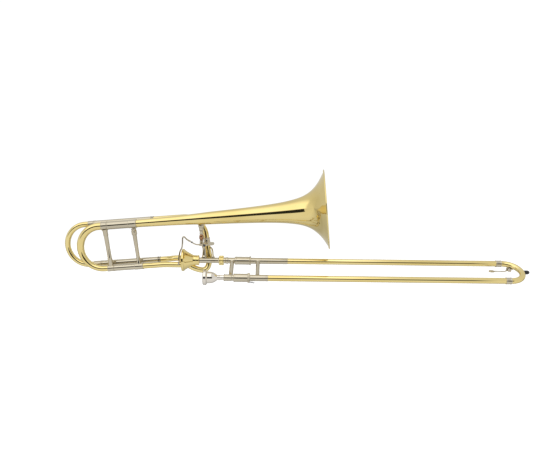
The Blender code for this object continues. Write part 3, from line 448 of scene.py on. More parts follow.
def bar_into(work, path, radius, matrix=HERE, sides=24):
    """A solid bar along a path with domed ends."""
    path = [Vector(point) for point in path]
    radii = along_path(path, radius)
    start, end = path[0], path[-1]
    first = (path[1] - path[0]).normalized()
    last = (path[-1] - path[-2]).normalized()
    dome = min(radii[0], radii[-1]) * 0.35
    full = [start] + [start + first * dome * 0.4] + path[1:-1] + [end - last * dome * 0.4] + [end]
    sizes = ([radii[0] * 0.72] + [radii[0]] + radii[1:-1] + [radii[-1]] + [radii[-1] * 0.72])
    skin(work, path_rings(full, sizes, sides), closed=False, capped=True, matrix=matrix)


def bar(name, path, radius, slot, body, matrix=HERE, sides=24):
    work = bmesh.new()
    bar_into(work, path, radius, matrix, sides)
    return keep(name, work, slot, body)


def block_into(work, low, high, bevel, matrix=HERE, segments=4):
    low, high = Vector(low), Vector(high)
    made = bmesh.ops.create_cube(work, size=1.0)["verts"]
    bmesh.ops.scale(work, vec=high - low, verts=made)
    bmesh.ops.translate(work, vec=(low + high) / 2, verts=made)
    edges = {edge for vert in made for edge in vert.link_edges}
    result = bmesh.ops.bevel(work, geom=list(edges), offset=bevel, segments=segments, profile=0.5,
                             affect="EDGES", clamp_overlap=True)
    verts = {vert for face in result["faces"] for vert in face.verts}
    bmesh.ops.transform(work, matrix=matrix, verts=list(verts))


def fluted_into(work, start, end, radius, depth, flutes, matrix=HERE, bore=0.0):
    """A knurled band: a ring with small grooves all round."""
    sides = flutes * 4
    rings = []
    profile = [(start, bore), (start, radius - depth * 1.6), (start + depth, radius),
               (end - depth, radius), (end, radius - depth * 1.6), (end, bore)]
    for index, (along, size) in enumerate(profile):
        ring = []
        for side in range(sides):
            turn = 2 * pi * side / sides
            cut = depth if index in (1, 2, 3, 4) and side % 4 in (0, 1) else 0.0
            ring.append(Vector((along, (size - cut) * cos(turn), (size - cut) * sin(turn))))
        rings.append(ring)
    skin(work, rings, closed=True, capped=False, matrix=matrix)


def coil(radius, start, length, turns, steps):
    """The path of a spring wound about Y."""
    path = []
    for step in range(turns * steps + 1):
        turn = 2 * pi * step / steps
        y = start + length * step / (turns * steps)
        path.append(Vector((radius * cos(turn), y, radius * sin(turn))))
    return path


def brace_outline(length, stem, foot):
    """Half outline of a stay along Z: round feet and a slim stem."""
    outline = [(0.0, 0.0), (0.0, foot), (0.0012, foot), (0.0020, foot * 0.90)]
    for step in range(7):
        t = step / 6
        outline.append((0.0024 + 0.0075 * t, stem + (foot * 0.80 - stem) * (1 - t) ** 2.2))
    for step in range(7):
        t = 1 - step / 6
        outline.append((length - 0.0024 - 0.0075 * t, stem + (foot * 0.80 - stem) * (1 - t) ** 2.2))
    return outline + [(length - 0.0020, foot * 0.90), (length - 0.0012, foot), (length, foot),
                      (length, 0.0)]


def stay(name, top, bottom, stem, foot, slot, body, matrix):
    axis = top - bottom
    return lathe(name, brace_outline(axis.length, stem, foot), slot, body,
                 matrix @ aimed(bottom, axis), sides=48, axis="Z", soft=0.0002)


# ---- bell ----------------------------------------------------------------------------------------


def bell_outline():
    outer = []
    for (x0, r0), (x1, r1) in zip(BELL_STATIONS, BELL_STATIONS[1:]):
        steps = 10
        for step in range(steps):
            along = x0 + (x1 - x0) * step / steps
            outer.append((along, smooth_radius(BELL_STATIONS, along)))
    outer.append(BELL_STATIONS[-1])
    inner = []
    for index, (along, radius) in enumerate(outer):
        xa, ra = outer[max(index - 1, 0)]
        xb, rb = outer[min(index + 1, len(outer) - 1)]
        lean = Vector((xb - xa, rb - ra)).normalized()
        inner.append((along + lean.y * BELL_WALL, radius - lean.x * BELL_WALL))
    inner[0] = (outer[0][0], outer[0][1] - BELL_WALL)
    bead_x, bead_r = BELL_MOUTH - BEAD_R, BELL_RADIUS - BEAD_R
    bead = []
    for turn in range(150, -91, -15):
        bead.append((bead_x + BEAD_R * cos(radians(turn)), bead_r + BEAD_R * sin(radians(turn))))
    return outer[:-1] + bead + list(reversed(inner))[1:]


lathe("bell_look", bell_outline(), "lacquered_brass", "bell_section", BELL_AXIS, sides=160, soft=0)

# ---- sleeves, gooseneck and return loop ------------------------------------------------------------

lathe("upper_tuning_sleeve_look",
      [(-0.1382, 0.01025), (-0.1382, 0.0111), (-0.1362, 0.0111), (-0.1358, 0.0107),
       (-0.0800, 0.0107), (-0.0796, 0.0113), (-0.0786, 0.0116), (-0.0776, 0.0112),
       (-0.0612, 0.0112), (-0.0602, 0.0116), (-0.0592, 0.0116), (-0.0585, 0.0110),
       (-0.0585, 0.01025)],
      "nickel_silver", "bell_section", BELL_AXIS)
lathe("lower_tuning_sleeve_look",
      [(-0.1342, 0.0078), (-0.1342, 0.0087), (-0.1322, 0.0087), (-0.1318, 0.0083),
       (-0.0776, 0.0083), (-0.0772, 0.0089), (-0.0762, 0.0092), (-0.0752, 0.0088),
       (-0.0567, 0.0088), (-0.0559, 0.0092), (-0.0551, 0.0092), (-0.0545, 0.0086),
       (-0.0545, 0.0078)],
      "nickel_silver", "bell_section", BELL)
for tag, holder, rear, front in (("upper", F_UPPER, -0.1832, -0.0175),
                                 ("lower", F_LOWER, -0.1767, -0.0115)):
    lathe(f"f_{tag}_sleeve_look",
          tube_outline(rear, front, F_SLEEVE_R, 0.0078, (rear + 0.0010, 0.0009, 0.0006),
                       (rear + 0.0046, 0.0009, 0.0005)),
          "nickel_silver", "bell_section", holder)
    lathe(f"f_{tag}_sleeve_end",
          tube_outline(front - 0.0090, front, F_SLEEVE_R, 0.0079, (front - 0.0080, 0.0007, 0.0005),
                       (front - 0.0010, 0.0007, 0.0005)),
          "nickel_silver", "bell_section", holder)


def bell_point(x, y, z):
    return BELL @ Vector((x, y, z))


pipe("gooseneck_look",
     rounded([bell_point(-0.0765, 0, 0), bell_point(0, 0, 0), MAIN_PORT], 0.16),
     NECK_R, NECK_BORE, "lacquered_brass", "bell_section")
pipe("f_outlet_tube_look",
     rounded([bell_point(-0.0112, F_OFFSET, F_LOWER_Z), bell_point(0.0080, F_OFFSET, F_LOWER_Z),
              F_PORT - Vector((0.0200, 0, 0)), F_PORT], 0.035),
     F_R, F_BORE, "lacquered_brass", "bell_section")
bend_end = Vector((-0.0478, 0.0140, 0.0535))
bend_path = rounded([bell_point(-0.0172, F_OFFSET, F_UPPER_Z), bell_point(0.0350, F_OFFSET, F_UPPER_Z),
                     Vector((-0.0560, 0.0085, 0.1185)), bend_end], 0.056, 24)
pipe("f_front_bend_look", bend_path, F_R, F_BORE, "lacquered_brass", "bell_section")
loop_path = curved((
    (-0.0478, 0.0140, 0.0531), (-0.0453, 0.0157, 0.0333), (-0.0414, 0.0180, 0.0100),
    (-0.0412, 0.0175, -0.0085), (-0.0465, 0.0155, -0.0220), (-0.0560, 0.0128, -0.0268),
    (-0.0680, 0.0100, -0.0253), (-0.0800, 0.0075, -0.0212), (-0.0900, 0.0055, -0.0165),
    (-0.0950, 0.0045, -0.0140)))
pipe("f_return_loop_look", loop_path, F_R, F_BORE, "lacquered_brass", "bell_section")
ferrule_axis = aimed(bend_end, bend_end - bend_path[-2], "X", "Z")
lathe("f_return_ferrule_look",
      tube_outline(-0.0070, 0.0070, 0.0088, F_R - 0.0002, (-0.0060, 0.0008, 0.0006),
                   (-0.0036, 0.0006, 0.0004), (0.0036, 0.0006, 0.0004), (0.0060, 0.0008, 0.0006)),
      "nickel_silver", "bell_section", ferrule_axis)


def bell_stay(name, top, outline, body, foot):
    """A post between the two legs of the bell section, turned about its own slanted line."""
    return lathe(name, outline, "nickel_silver", body, BELL @ aimed(foot, top - foot), sides=48,
                 axis="Z")


bell_stay("body_brace_look", Vector((-0.0691, 0, BELL_SPACING)),
          [(0.0068, 0), (0.0068, 0.0062), (0.0100, 0.0058), (0.0140, 0.0053), (0.0180, 0.0050),
           (0.0450, 0.0049), (0.0700, 0.0053), (0.0866, 0.0057), (0.0872, 0.0066), (0.0884, 0.0072),
           (0.0974, 0.0072), (0.0986, 0.0064), (0.0992, 0.0058), (0.1000, 0.0058), (0.1004, 0.0067),
           (0.1034, 0.0068), (0.1040, 0.0046), (0.1062, 0.0046), (0.1080, 0.0062), (0.1086, 0)],
          "bell_section", Vector((-0.0660, 0, 0)))
for tag, near_z, far_z in (("upper", BELL_SPACING, F_UPPER_Z), ("lower", 0.0, F_LOWER_Z)):
    near = Vector((-0.0700, 0.0070, near_z + 0.28 * (far_z - near_z)))
    far = Vector((-0.0700, F_OFFSET - 0.0060, near_z + 0.75 * (far_z - near_z)))
    bar(f"f_{tag}_stay_look", [near, near.lerp(far, 0.5), far], [0.0046, 0.0030, 0.0046],
        "nickel_silver", "bell_section", BELL)

# ---- neckpipe, valve and trigger brace -------------------------------------------------------------

lathe("neckpipe_look",
      [(-0.0722, 0.0069), (-0.0722, NECK_R), (-0.0150, NECK_R), (-0.0140, 0.0082),
       (-0.0130, 0.0086), (-0.0122, 0.0096), (-0.0117, 0.0102), (-0.0044, 0.0102),
       (-0.0038, 0.0096), (-0.0038, 0.0069)],
      "nickel_silver", "bell_section")
lathe("valve_casing_look",
      [(-0.0655, 0.0070), (-0.0655, 0.0128), (-0.0661, 0.0134), (-0.0690, 0.0134), (-0.0694, 0.0130),
       (-0.0730, 0.0130), (-0.0734, 0.0134), (-0.0760, 0.0135), (-0.0790, 0.0136), (-0.0820, 0.0143),
       (-0.0850, 0.0157), (-0.0880, 0.0174), (-0.0910, 0.0191), (-0.0940, 0.0209),
       (-0.0970, 0.0228), (-0.1000, 0.0248), (-0.1022, 0.0263), (-0.1042, 0.0281),
       (-0.1052, 0.0293), (-0.1058, 0.0300), (-0.1092, 0.0300), (-0.1092, 0.0275), (-0.0780, 0.0109),
       (-0.0780, 0.0070)],
      "lacquered_brass", "bell_section", sides=96)
lathe("valve_back_plate_look",
      [(PLATE_REAR, 0.0034), (PLATE_REAR, 0.0290), (PLATE_REAR + 0.0006, 0.0297),
       (VALVE_REAR - 0.0002, 0.0297), (VALVE_REAR - 0.0002, 0.0034)],
      "lacquered_brass", "bell_section", sides=96)
lathe("valve_rotor_look",
      [(-0.0784, 0.0), (-0.0784, 0.0104), (-0.1089, 0.0269), (-0.1089, 0.0030), (-0.1156, 0.0030),
       (-0.1156, 0.0)],
      "nickel_silver", "valve_rotor", sides=96)


def ring_point(x, radius, turn):
    return Vector((x, radius * cos(turn), radius * sin(turn)))


work = bmesh.new()
turn_into(work, [(-0.1126, 0.0034), (-0.1126, 0.0078), (-0.1118, 0.0086), (-0.1108, 0.0088),
                 (-0.1108, 0.0034)])
for port in (MAIN_PORT, F_PORT):
    turn_into(work, tube_outline(-0.1135, -0.1108, 0.0086, 0.0074, (-0.1129, 0.0006, 0.0004)),
              Matrix.Translation((0, port.y, port.z)))
keep("valve_plate_fittings", work, "lacquered_brass", "bell_section")
work = bmesh.new()
for turn in (ARM_ANGLE + radians(21), ARM_ANGLE - radians(81)):
    stop = ring_point(0, 0.0098, turn)
    turn_into(work, [(-0.1164, 0.0), (-0.1164, 0.0017), (-0.1108, 0.0018), (-0.1108, 0.0)],
              Matrix.Translation(stop), 24)
keep("valve_stop_bumpers", work, "black_rubber", "bell_section")
work = bmesh.new()
for index in range(6):
    place = ring_point(0, 0.0266, radians(95 + 60 * index))
    turn_into(work, [(-0.1118, 0.0), (-0.1118, 0.0010), (-0.1113, 0.0014), (-0.1108, 0.0014),
                     (-0.1108, 0.0)], Matrix.Translation(place), 20, soft=0.0001)
keep("valve_plate_screws", work, "nickel_silver", "bell_section")

ball = ring_point(ARM_BALL_X, ARM_LENGTH, ARM_ANGLE)
hub_x = PLATE_REAR - 0.0030
work = bmesh.new()
turn_into(work, [(hub_x - 0.0022, 0.0029), (hub_x - 0.0022, 0.0052), (hub_x + 0.0012, 0.0052),
                 (hub_x + 0.0012, 0.0029)], sides=40)
bar_into(work, [ring_point(hub_x - 0.0005, 0.0042, ARM_ANGLE),
                ring_point(hub_x - 0.0005, ARM_LENGTH * 0.7, ARM_ANGLE),
                ring_point(hub_x - 0.0005, ARM_LENGTH + 0.0018, ARM_ANGLE)], [0.0022, 0.0015, 0.0016])
stud = [(hub_x, 0), (hub_x, 0.0016), (ARM_BALL_X + 0.0019, 0.0012)]
for turn in range(35, 180, 12):
    stud.append((ARM_BALL_X + 0.0022 * cos(radians(turn)), 0.0022 * sin(radians(turn))))
turn_into(work, stud + [(ARM_BALL_X - 0.0022, 0)], Matrix.Translation((0, ball.y, ball.z)), 32, soft=0)
keep("rotor_arm_look", work, "lacquered_brass", "valve_rotor")
lathe("spindle_screw", [(-0.1166, 0.0), (-0.1166, 0.0012), (-0.1172, 0.0012), (-0.1172, 0.0034),
                        (-0.1163, 0.0042), (-0.1154, 0.0042), (-0.1154, 0.0)],
      "spring_steel", "valve_rotor", sides=32)

brace_foot = Vector((-0.0598, -0.0060, 0.0500))
brace_top = Vector((-0.0600, -0.0196, 0.1020))
BRACE = aimed(brace_foot, brace_top - brace_foot)
lathe("bell_brace_post_look",
      [(0.0200, 0), (0.0200, 0.0040), (0.0206, 0.0046), (0.0222, 0.0047), (0.0230, 0.0042),
       (0.0286, 0.0043), (0.0294, 0.0050), (0.0302, 0.0058), (0.0316, 0.0060), (0.0324, 0.0057),
       (0.0372, 0.0058), (0.0382, 0.0060), (0.0392, 0.0066), (0.0400, 0.0074), (0.0424, 0.0076),
       (0.0432, 0.0072), (0.0450, 0.0073), (0.0450, 0)],
      "nickel_silver", "bell_section", BRACE, axis="Z")
lathe("bell_brace_knob_look",
      [(0.0038, 0), (0.0038, 0.0034), (0.0050, 0.0041), (0.0064, 0.0050), (0.0082, 0.0056),
       (0.0105, 0.0058), (0.0128, 0.0058), (0.0150, 0.0055), (0.0170, 0.0049), (0.0186, 0.0040),
       (0.0199, 0.0031), (0.0199, 0)],
      "copper", "bell_section", BRACE, axis="Z", soft=0.0012)
strut_path = curved([(-0.0524, 0.0, 0.0065), (-0.0526, -0.0006, 0.0150),
                     (-0.0530, -0.0022, 0.0310), (-0.0570, -0.0046, 0.0425),
                     BRACE @ Vector((0, 0, -0.0035)), BRACE @ Vector((0, 0, 0.0036))])
bar("bell_brace_strut_look", strut_path, [0.0070, 0.0050, 0.0044, 0.0041, 0.0046, 0.0045],
    "nickel_silver", "bell_section", sides=40)
stay_path = curved([(-0.0280, 0.0012, 0.0060), (-0.0300, 0.0016, 0.0120),
                    (-0.0320, 0.0060, 0.0290), (-0.0400, 0.0140, 0.0355)])
bar("f_return_stay_look", stay_path, [0.0044, 0.0025, 0.0022, 0.0024], "nickel_silver", "bell_section")

# ---- trigger and linkage ---------------------------------------------------------------------------

TRIGGER = Matrix.Translation(LEVER_PIVOT)
tip = ROD_TOP - LEVER_PIVOT
lathe("lever_pivot_pin_look",
      [(-0.0066, 0), (-0.0066, 0.0024), (-0.0060, 0.0029), (-0.0052, 0.0029), (-0.0052, 0.0017),
       (0.0085, 0.0017), (0.0085, 0)],
      "spring_steel", "bell_section", TRIGGER, sides=32, axis="Y", soft=0.0002)
work = bmesh.new()
turn_into(work, [(-0.0046, 0.0019), (-0.0046, 0.0040), (0.0046, 0.0040), (0.0046, 0.0019)], TRIGGER,
          40, "Y")
block_into(work, (-0.0130, -0.0036, -0.0016), (0.0075, 0.0036, 0.0050), 0.0016,
           TRIGGER @ Matrix.Rotation(radians(14), 4, "X"))
bar_into(work, curved([(-0.0110, 0, 0.0020), (-0.0200, 0, 0.0020),
                       (-0.0270, 0, 0.0045), Vector((tip.x, 0, tip.z))]),
         [0.0022, 0.0016, 0.0015, 0.0016], TRIGGER)
bar_into(work, [(0.0050, 0, 0.0014), (0.0120, 0, 0.0014), (0.0205, 0, 0.0018)],
         [0.0026, 0.0018, 0.0014], TRIGGER)
keep("thumb_lever_look", work, "nickel_silver", "trigger")


def paddle_into(work, length, half, thick, matrix, crown=0.0):
    """A thumb plate: an oval outline with a rounded edge and a slightly hollowed face."""
    rings = []
    for share, height in ((0.0, 0.0), (0.55, 0.1), (0.85, 0.4), (0.96, 0.72), (1.0, 1.0),
                          (0.97, 1.25), (0.90, 1.0), (0.0, 1.0)):
        ring = []
        upper = height > 1.0 or (share, height) in ((0.90, 1.0), (0.0, 1.0))
        z = 1.0 if upper else height * 0.5
        for side in range(48):
            turn = 2 * pi * side / 48
            c, s = cos(turn), sin(turn)
            x = abs(c) ** 0.7 * (1 if c > 0 else -1) * share
            y = abs(s) ** 0.7 * (1 if s > 0 else -1) * share
            lift = crown * (1 - share * share) if upper else 0.0
            ring.append(Vector((length * (0.5 + 0.5 * x), half * y, thick * z - lift)))
        if share == 0.0:
            ring = [Vector((length * 0.5, 0, ring[0].z))]
        rings.append(ring)
    skin(work, rings, closed=False, capped=False, matrix=matrix)


work = bmesh.new()
paddle_into(work, 0.0170, 0.0085, 0.0022, TRIGGER @ Matrix.Translation((0.0093, 0, 0.0046))
            @ Matrix.Rotation(radians(25), 4, "X") @ Matrix.Translation((0, 0, -0.0011)), 0.0005)
keep("thumb_paddle_look", work, "nickel_silver", "trigger")
bar("lever_spring_look", coil(0.0026, 0.0052, 0.0028, 3, 24), 0.00035, "spring_steel",
    "bell_section", TRIGGER, sides=10)

work = bmesh.new()
turn_into(work, [(ball.x - 0.0018, 0.0046), (ball.x - 0.0018, 0.0060), (ball.x + 0.0018, 0.0060),
                 (ball.x + 0.0018, 0.0046)], Matrix.Translation((0, ball.y, ball.z)), 48)
rod_path = curved([ball + Vector((0, 0, 0.0054)), (-0.1178, -0.0139, 0.0090),
                   (-0.1148, -0.0142, 0.0240), (-0.1102, -0.0150, 0.0335),
                   (-0.1086, -0.0165, 0.0460), (-0.1083, -0.0170, 0.0580),
                   (-0.1050, -0.0170, 0.0622), (-0.0988, -0.0170, 0.0567),
                   (-0.0956, -0.0170, 0.0541)])
bar_into(work, rod_path, 0.0019)
keep("linkage_rod_look", work, "nickel_silver", "linkage")
ADJUSTER = aimed(Vector((-0.0958, -0.0170, 0.0542)), Vector((0.0093, 0, -0.0048)), "X", "Z")
work = bmesh.new()
turn_into(work, [(0.0, 0.0009), (0.0, 0.0018), (0.0008, 0.0024), (0.0018, 0.0024), (0.0020, 0.0019),
                 (0.0086, 0.0019), (0.0088, 0.0024), (0.0098, 0.0024), (0.0104, 0.0018),
                 (0.0104, 0.0009)], ADJUSTER, 6, soft=0.0001)
turn_into(work, [(0.0016, 0.0010), (0.0016, 0.0021), (0.0090, 0.0021), (0.0090, 0.0010)], ADJUSTER, 32)
keep("rod_adjuster_look", work, "nickel_silver", "linkage")
work = bmesh.new()
turn_into(work, [(-0.0030, 0), (-0.0030, 0.0018), (-0.0022, 0.0024), (0.0022, 0.0024), (0.0030, 0.0018),
                 (0.0030, 0)], Matrix.Translation(ROD_TOP), 28, "Y")
keep("rod_joint_screw", work, "spring_steel", "trigger")

# ---- tuning slides ---------------------------------------------------------------------------------

lathe("tuning_upper_leg_look",
      [(-0.1550, 0.0098), (-0.1550, 0.0108), (-0.1544, 0.0113), (-0.1532, 0.0114), (-0.1526, 0.0109),
       (-0.1408, 0.0109), (-0.1402, 0.0114), (-0.1391, 0.0114), (-0.1385, 0.0110),
       (-0.1385, 0.0099), (-0.0810, 0.0099), (-0.0810, 0.0094), (-0.1400, 0.0094), (-0.1404, 0.0098)],
      "nickel_silver", "main_tuning_slide", BELL_AXIS)
lathe("tuning_lower_leg_look",
      [(-0.1520, 0.0076), (-0.1520, 0.0086), (-0.1514, 0.0091), (-0.1502, 0.0092), (-0.1496, 0.0087),
       (-0.1368, 0.0087), (-0.1362, 0.0092), (-0.1351, 0.0092), (-0.1345, 0.0088),
       (-0.1345, 0.00745), (-0.0785, 0.00745), (-0.0785, 0.0070), (-0.1360, 0.0070),
       (-0.1364, 0.0076)],
      "nickel_silver", "main_tuning_slide", BELL)
bow_path = ([Vector((-0.1408, 0, BELL_SPACING)), Vector((-0.1515, 0, BELL_SPACING))]
            + half_circle(Vector((-0.1621, 0, BELL_SPACING)), Vector((-0.1621, 0, 0)),
                          Vector((-1, 0, 0)))
            + [Vector((-0.1500, 0, 0)), Vector((-0.1368, 0, 0))])
pipe("tuning_bow_look", bow_path, [0.0100, 0.0100, 0.0099, 0.0091, 0.0079, 0.0077],
     [0.0095, 0.0095, 0.0094, 0.0086, 0.0074, 0.0072], "lacquered_brass", "main_tuning_slide", BELL,
     sides=64)
bell_stay("tuning_brace_look", Vector((-0.1472, 0, BELL_SPACING)),
          [(0.0068, 0), (0.0068, 0.0064), (0.0082, 0.0064), (0.0250, 0.0062), (0.0268, 0.0064),
           (0.0276, 0.0062), (0.0282, 0.0057), (0.0600, 0.0055), (0.0890, 0.0057), (0.0896, 0.0062),
           (0.0906, 0.0064), (0.1000, 0.0064), (0.1030, 0.0070), (0.1062, 0.0084), (0.1068, 0.0084),
           (0.1068, 0)],
          "main_tuning_slide", Vector((-0.1432, 0, 0)))
for tag, holder, start, end in (("upper", F_UPPER, -0.1985, -0.1835),
                                ("lower", F_LOWER, -0.1970, -0.1770)):
    lathe(f"f_{tag}_leg_look",
          [(start, 0.0076), (start, 0.0082), (start + 0.0006, 0.0087), (start + 0.0016, 0.0087),
           (start + 0.0022, 0.0083), (end - 0.0022, 0.0083), (end - 0.0016, 0.0086),
           (end - 0.0006, 0.0086), (end, 0.0083), (end, 0.00745), (-0.0600, 0.00745),
           (-0.0600, 0.0070), (end - 0.0018, 0.0070), (end - 0.0022, 0.0076)],
          "nickel_silver", "f_tuning_slide", holder)
f_bow_path = ([Vector((-0.1862, F_OFFSET, F_UPPER_Z)), Vector((-0.1980, F_OFFSET, F_UPPER_Z))]
              + half_circle(Vector((-0.2089, F_OFFSET, F_UPPER_Z)),
                            Vector((-0.2089, F_OFFSET, F_LOWER_Z)), Vector((-1, 0, 0)))
              + [Vector((-0.1960, F_OFFSET, F_LOWER_Z)), Vector((-0.1797, F_OFFSET, F_LOWER_Z))])
pipe("f_bow_look", f_bow_path, F_R - 0.0002, F_BORE, "lacquered_brass", "f_tuning_slide", BELL)

# ---- inner hand slide ------------------------------------------------------------------------------

work = bmesh.new()
turn_into(work, [(-0.0125, 0.0106), (-0.0125, 0.0122), (-0.0117, 0.0130), (-0.0100, 0.0130),
                 (-0.0094, 0.0124), (-0.0030, 0.0124), (-0.0024, 0.0130), (-0.0008, 0.0130),
                 (0.0000, 0.0122), (0.0000, 0.0083), (-0.0010, 0.0083), (-0.0010, 0.0106)])
fluted_into(work, -0.0092, -0.0032, 0.0130, 0.00035, 44, bore=0.0115)
keep("bell_lock_nut_look", work, "lacquered_brass", "bell_lock")
lathe("slide_tenon_look",
      [(-0.0450, 0.0056), (-0.0450, 0.0064), (-0.0034, 0.0065), (-0.0034, 0.0092),
       (-0.0014, 0.0094), (-0.0014, 0.0079), (0.0040, 0.0079), (0.0048, 0.0086), (0.0060, 0.0088),
       (0.0105, 0.0088), (0.0116, 0.0084), (0.0120, 0.0079), (0.0315, 0.0079), (0.0315, 0.0066)],
      "nickel_silver", "slide_section", SLIDE)
for tag, holder in (("upper", SLIDE), ("lower", LOWER_LEG)):
    lathe(f"{tag}_inner_tube_look",
          [(0.0319, 0.0066), (0.0319, 0.0070), (0.6400, 0.0070), (0.6420, 0.0071), (0.7257, 0.0071),
           (0.7265, 0.0069), (0.7265, 0.0066)],
          "chromed_tube", "slide_section", holder)
    lathe(f"{tag}_cork_ring_look", tube_outline(0.0350, 0.0485, 0.0093, 0.0073), "cork",
          "slide_section", holder, sides=40)
lathe("upper_cork_barrel_look",
      [(0.0294, 0.0082), (0.0294, 0.0099), (0.0300, 0.0106), (0.0308, 0.0109), (0.0330, 0.0109),
       (0.0336, 0.0106), (0.0670, 0.0106), (0.0680, 0.0109), (0.0686, 0.0120), (0.0694, 0.0125),
       (0.0714, 0.0125), (0.0720, 0.0119), (0.0720, 0.0097), (0.0345, 0.0097), (0.0345, 0.0073),
       (0.0328, 0.0073), (0.0328, 0.0082)],
      "nickel_silver", "slide_section", SLIDE)
lathe("lower_cork_barrel_look",
      [(0.0298, 0.0083), (0.0298, 0.0099), (0.0304, 0.0106), (0.0312, 0.0109), (0.0334, 0.0109),
       (0.0340, 0.0106), (0.0630, 0.0106), (0.0638, 0.0109), (0.0700, 0.0109), (0.0705, 0.0104),
       (0.0705, 0.0097), (0.0345, 0.0097), (0.0345, 0.0073), (0.0328, 0.0073), (0.0328, 0.0083)],
      "nickel_silver", "slide_section", LOWER_LEG)
work = bmesh.new()
fluted_into(work, 0.0655, 0.0715, 0.0127, 0.00030, 40, LOWER_LEG, bore=0.0111)
keep("slide_lock_ring_look", work, "nickel_silver", "slide_lock")
bar("slide_lock_tab", curved([(0.0692, 0.0049, -0.0112), (0.0760, 0.0052, -0.0122),
                              (0.0835, 0.0058, -0.0140)]), [0.0010, 0.0018, 0.0014],
    "spring_steel", "slide_lock", LOWER_LEG)
lathe("mouthpiece_receiver_look",
      [(0.0048, 0.0068), (0.0048, 0.0083), (0.0054, 0.0089), (0.0074, 0.0089), (0.0080, 0.0085),
       (0.0224, 0.0085), (0.0230, 0.0089), (0.0240, 0.0089), (0.0246, 0.0080), (0.0312, 0.0078),
       (0.0312, 0.0066), (0.0300, 0.0064)],
      "nickel_silver", "slide_section", LOWER_LEG)
stay("inner_slide_brace_look", Vector((0.0222, 0, -0.0072)), Vector((0.0222, 0, 0.0080 - SLIDE_SPACING)),
     0.0055, 0.0061, "nickel_silver", "slide_section", SLIDE)

# ---- mouthpiece ------------------------------------------------------------------------------------


def mouthpiece_outline():
    shank_end = 0.0296
    inside = [(shank_end, 0.0050), (0.0100, 0.0041), (-0.0080, 0.0036), (-0.0190, 0.0034)]
    for turn in range(16, 91, 6):
        inside.append((-0.0440 + 0.0235 * cos(radians(turn)), 0.0124 * sin(radians(turn)) ** 0.8))
    rim = []
    for turn in range(168, 7, -12):
        rim.append((-0.0440 - 0.0046 * sin(radians(turn)), 0.0161 + 0.0036 * cos(radians(turn))))
    outside = [(-0.0425, 0.0197), (-0.0408, 0.0197), (-0.0395, 0.0192), (-0.0386, 0.0180),
               (-0.0380, 0.0165), (-0.0374, 0.0154), (-0.0366, 0.0151), (-0.0345, 0.0151),
               (-0.0320, 0.0149), (-0.0290, 0.0149), (-0.0260, 0.0146), (-0.0232, 0.0138),
               (-0.0205, 0.0127), (-0.0180, 0.0114), (-0.0157, 0.0099), (-0.0135, 0.0082),
               (-0.0118, 0.0070), (-0.0108, 0.0067), (-0.0100, 0.0067),
               (-0.0094, 0.0070), (-0.0085, 0.0072), (-0.0076, 0.0069), (-0.0070, 0.0067),
               (-0.0064, 0.0069), (-0.0055, 0.0072), (-0.0046, 0.0069), (-0.0040, 0.0066),
               (0.0020, 0.0065), (shank_end, 0.0060)]
    return inside + rim + outside


lathe("mouthpiece_look", mouthpiece_outline(), "silver_plate", "mouthpiece", LOWER_LEG, sides=96,
      soft=0.00015)

# ---- outer hand slide ------------------------------------------------------------------------------

for tag, holder, end in (("upper", SLIDE, 0.1698), ("lower", LOWER_LEG, 0.1175)):
    lathe(f"{tag}_outer_tube_look", tube_outline(0.0500, SLIDE_END, TUBE_R, TUBE_BORE), "lacquered_brass",
          "outer_slide", holder)
    lathe(f"{tag}_slide_sleeve_look", tube_outline(0.0500, end, SLEEVE_R, TUBE_R - 0.0001),
          "nickel_silver", "outer_slide", holder)
    lathe(f"crook_{tag}_ferrule_look",
          [(0.7286, 0.0077), (0.7286, 0.0084), (0.7292, 0.0091), (0.7306, 0.0092), (0.7312, 0.0087),
           (0.7412, 0.0087), (0.7418, 0.0092), (0.7432, 0.0091), (0.7438, 0.0084),
           (0.7438, 0.0077)],
          "nickel_silver", "outer_slide", holder)
crook_path = ([Vector((SLIDE_END + 0.0003, 0, 0))]
              + half_circle(Vector((CROOK_CENTRE, 0, 0)), Vector((CROOK_CENTRE, 0, -SLIDE_SPACING)),
                            Vector((1, 0, 0)))
              + [Vector((SLIDE_END + 0.0003, 0, -SLIDE_SPACING))])
pipe("slide_crook_look", crook_path, TUBE_R, CROOK_BORE, "lacquered_brass", "outer_slide", SLIDE, sides=56)
stay("outer_slide_brace_look", Vector((0.0906, 0, -0.0072)),
     Vector((0.0906, 0, 0.0072 - SLIDE_SPACING)), 0.0051, 0.0066, "nickel_silver", "outer_slide",
     SLIDE)
NOSE = SLIDE @ Matrix.Translation((CROOK_CENTRE + CROOK_R, 0, -CROOK_R))
lathe("bumper_base_look",
      [(0.0062, 0), (0.0062, 0.0042), (0.0096, 0.0042), (0.0100, 0.0038), (0.0100, 0)],
      "nickel_silver", "outer_slide", NOSE)
lathe("rubber_bumper_look",
      [(0.0103, 0), (0.0103, 0.0045), (0.0064, 0.0045), (0.0064, 0.0050), (0.0080, 0.0052),
       (0.0100, 0.0053), (0.0135, 0.0053), (0.0165, 0.0050),
       (0.0188, 0.0040), (0.0196, 0.0033), (0.0200, 0.0024), (0.0200, 0)], "black_rubber",
      "outer_slide", NOSE, soft=0.0006)

# ---- water key -------------------------------------------------------------------------------------

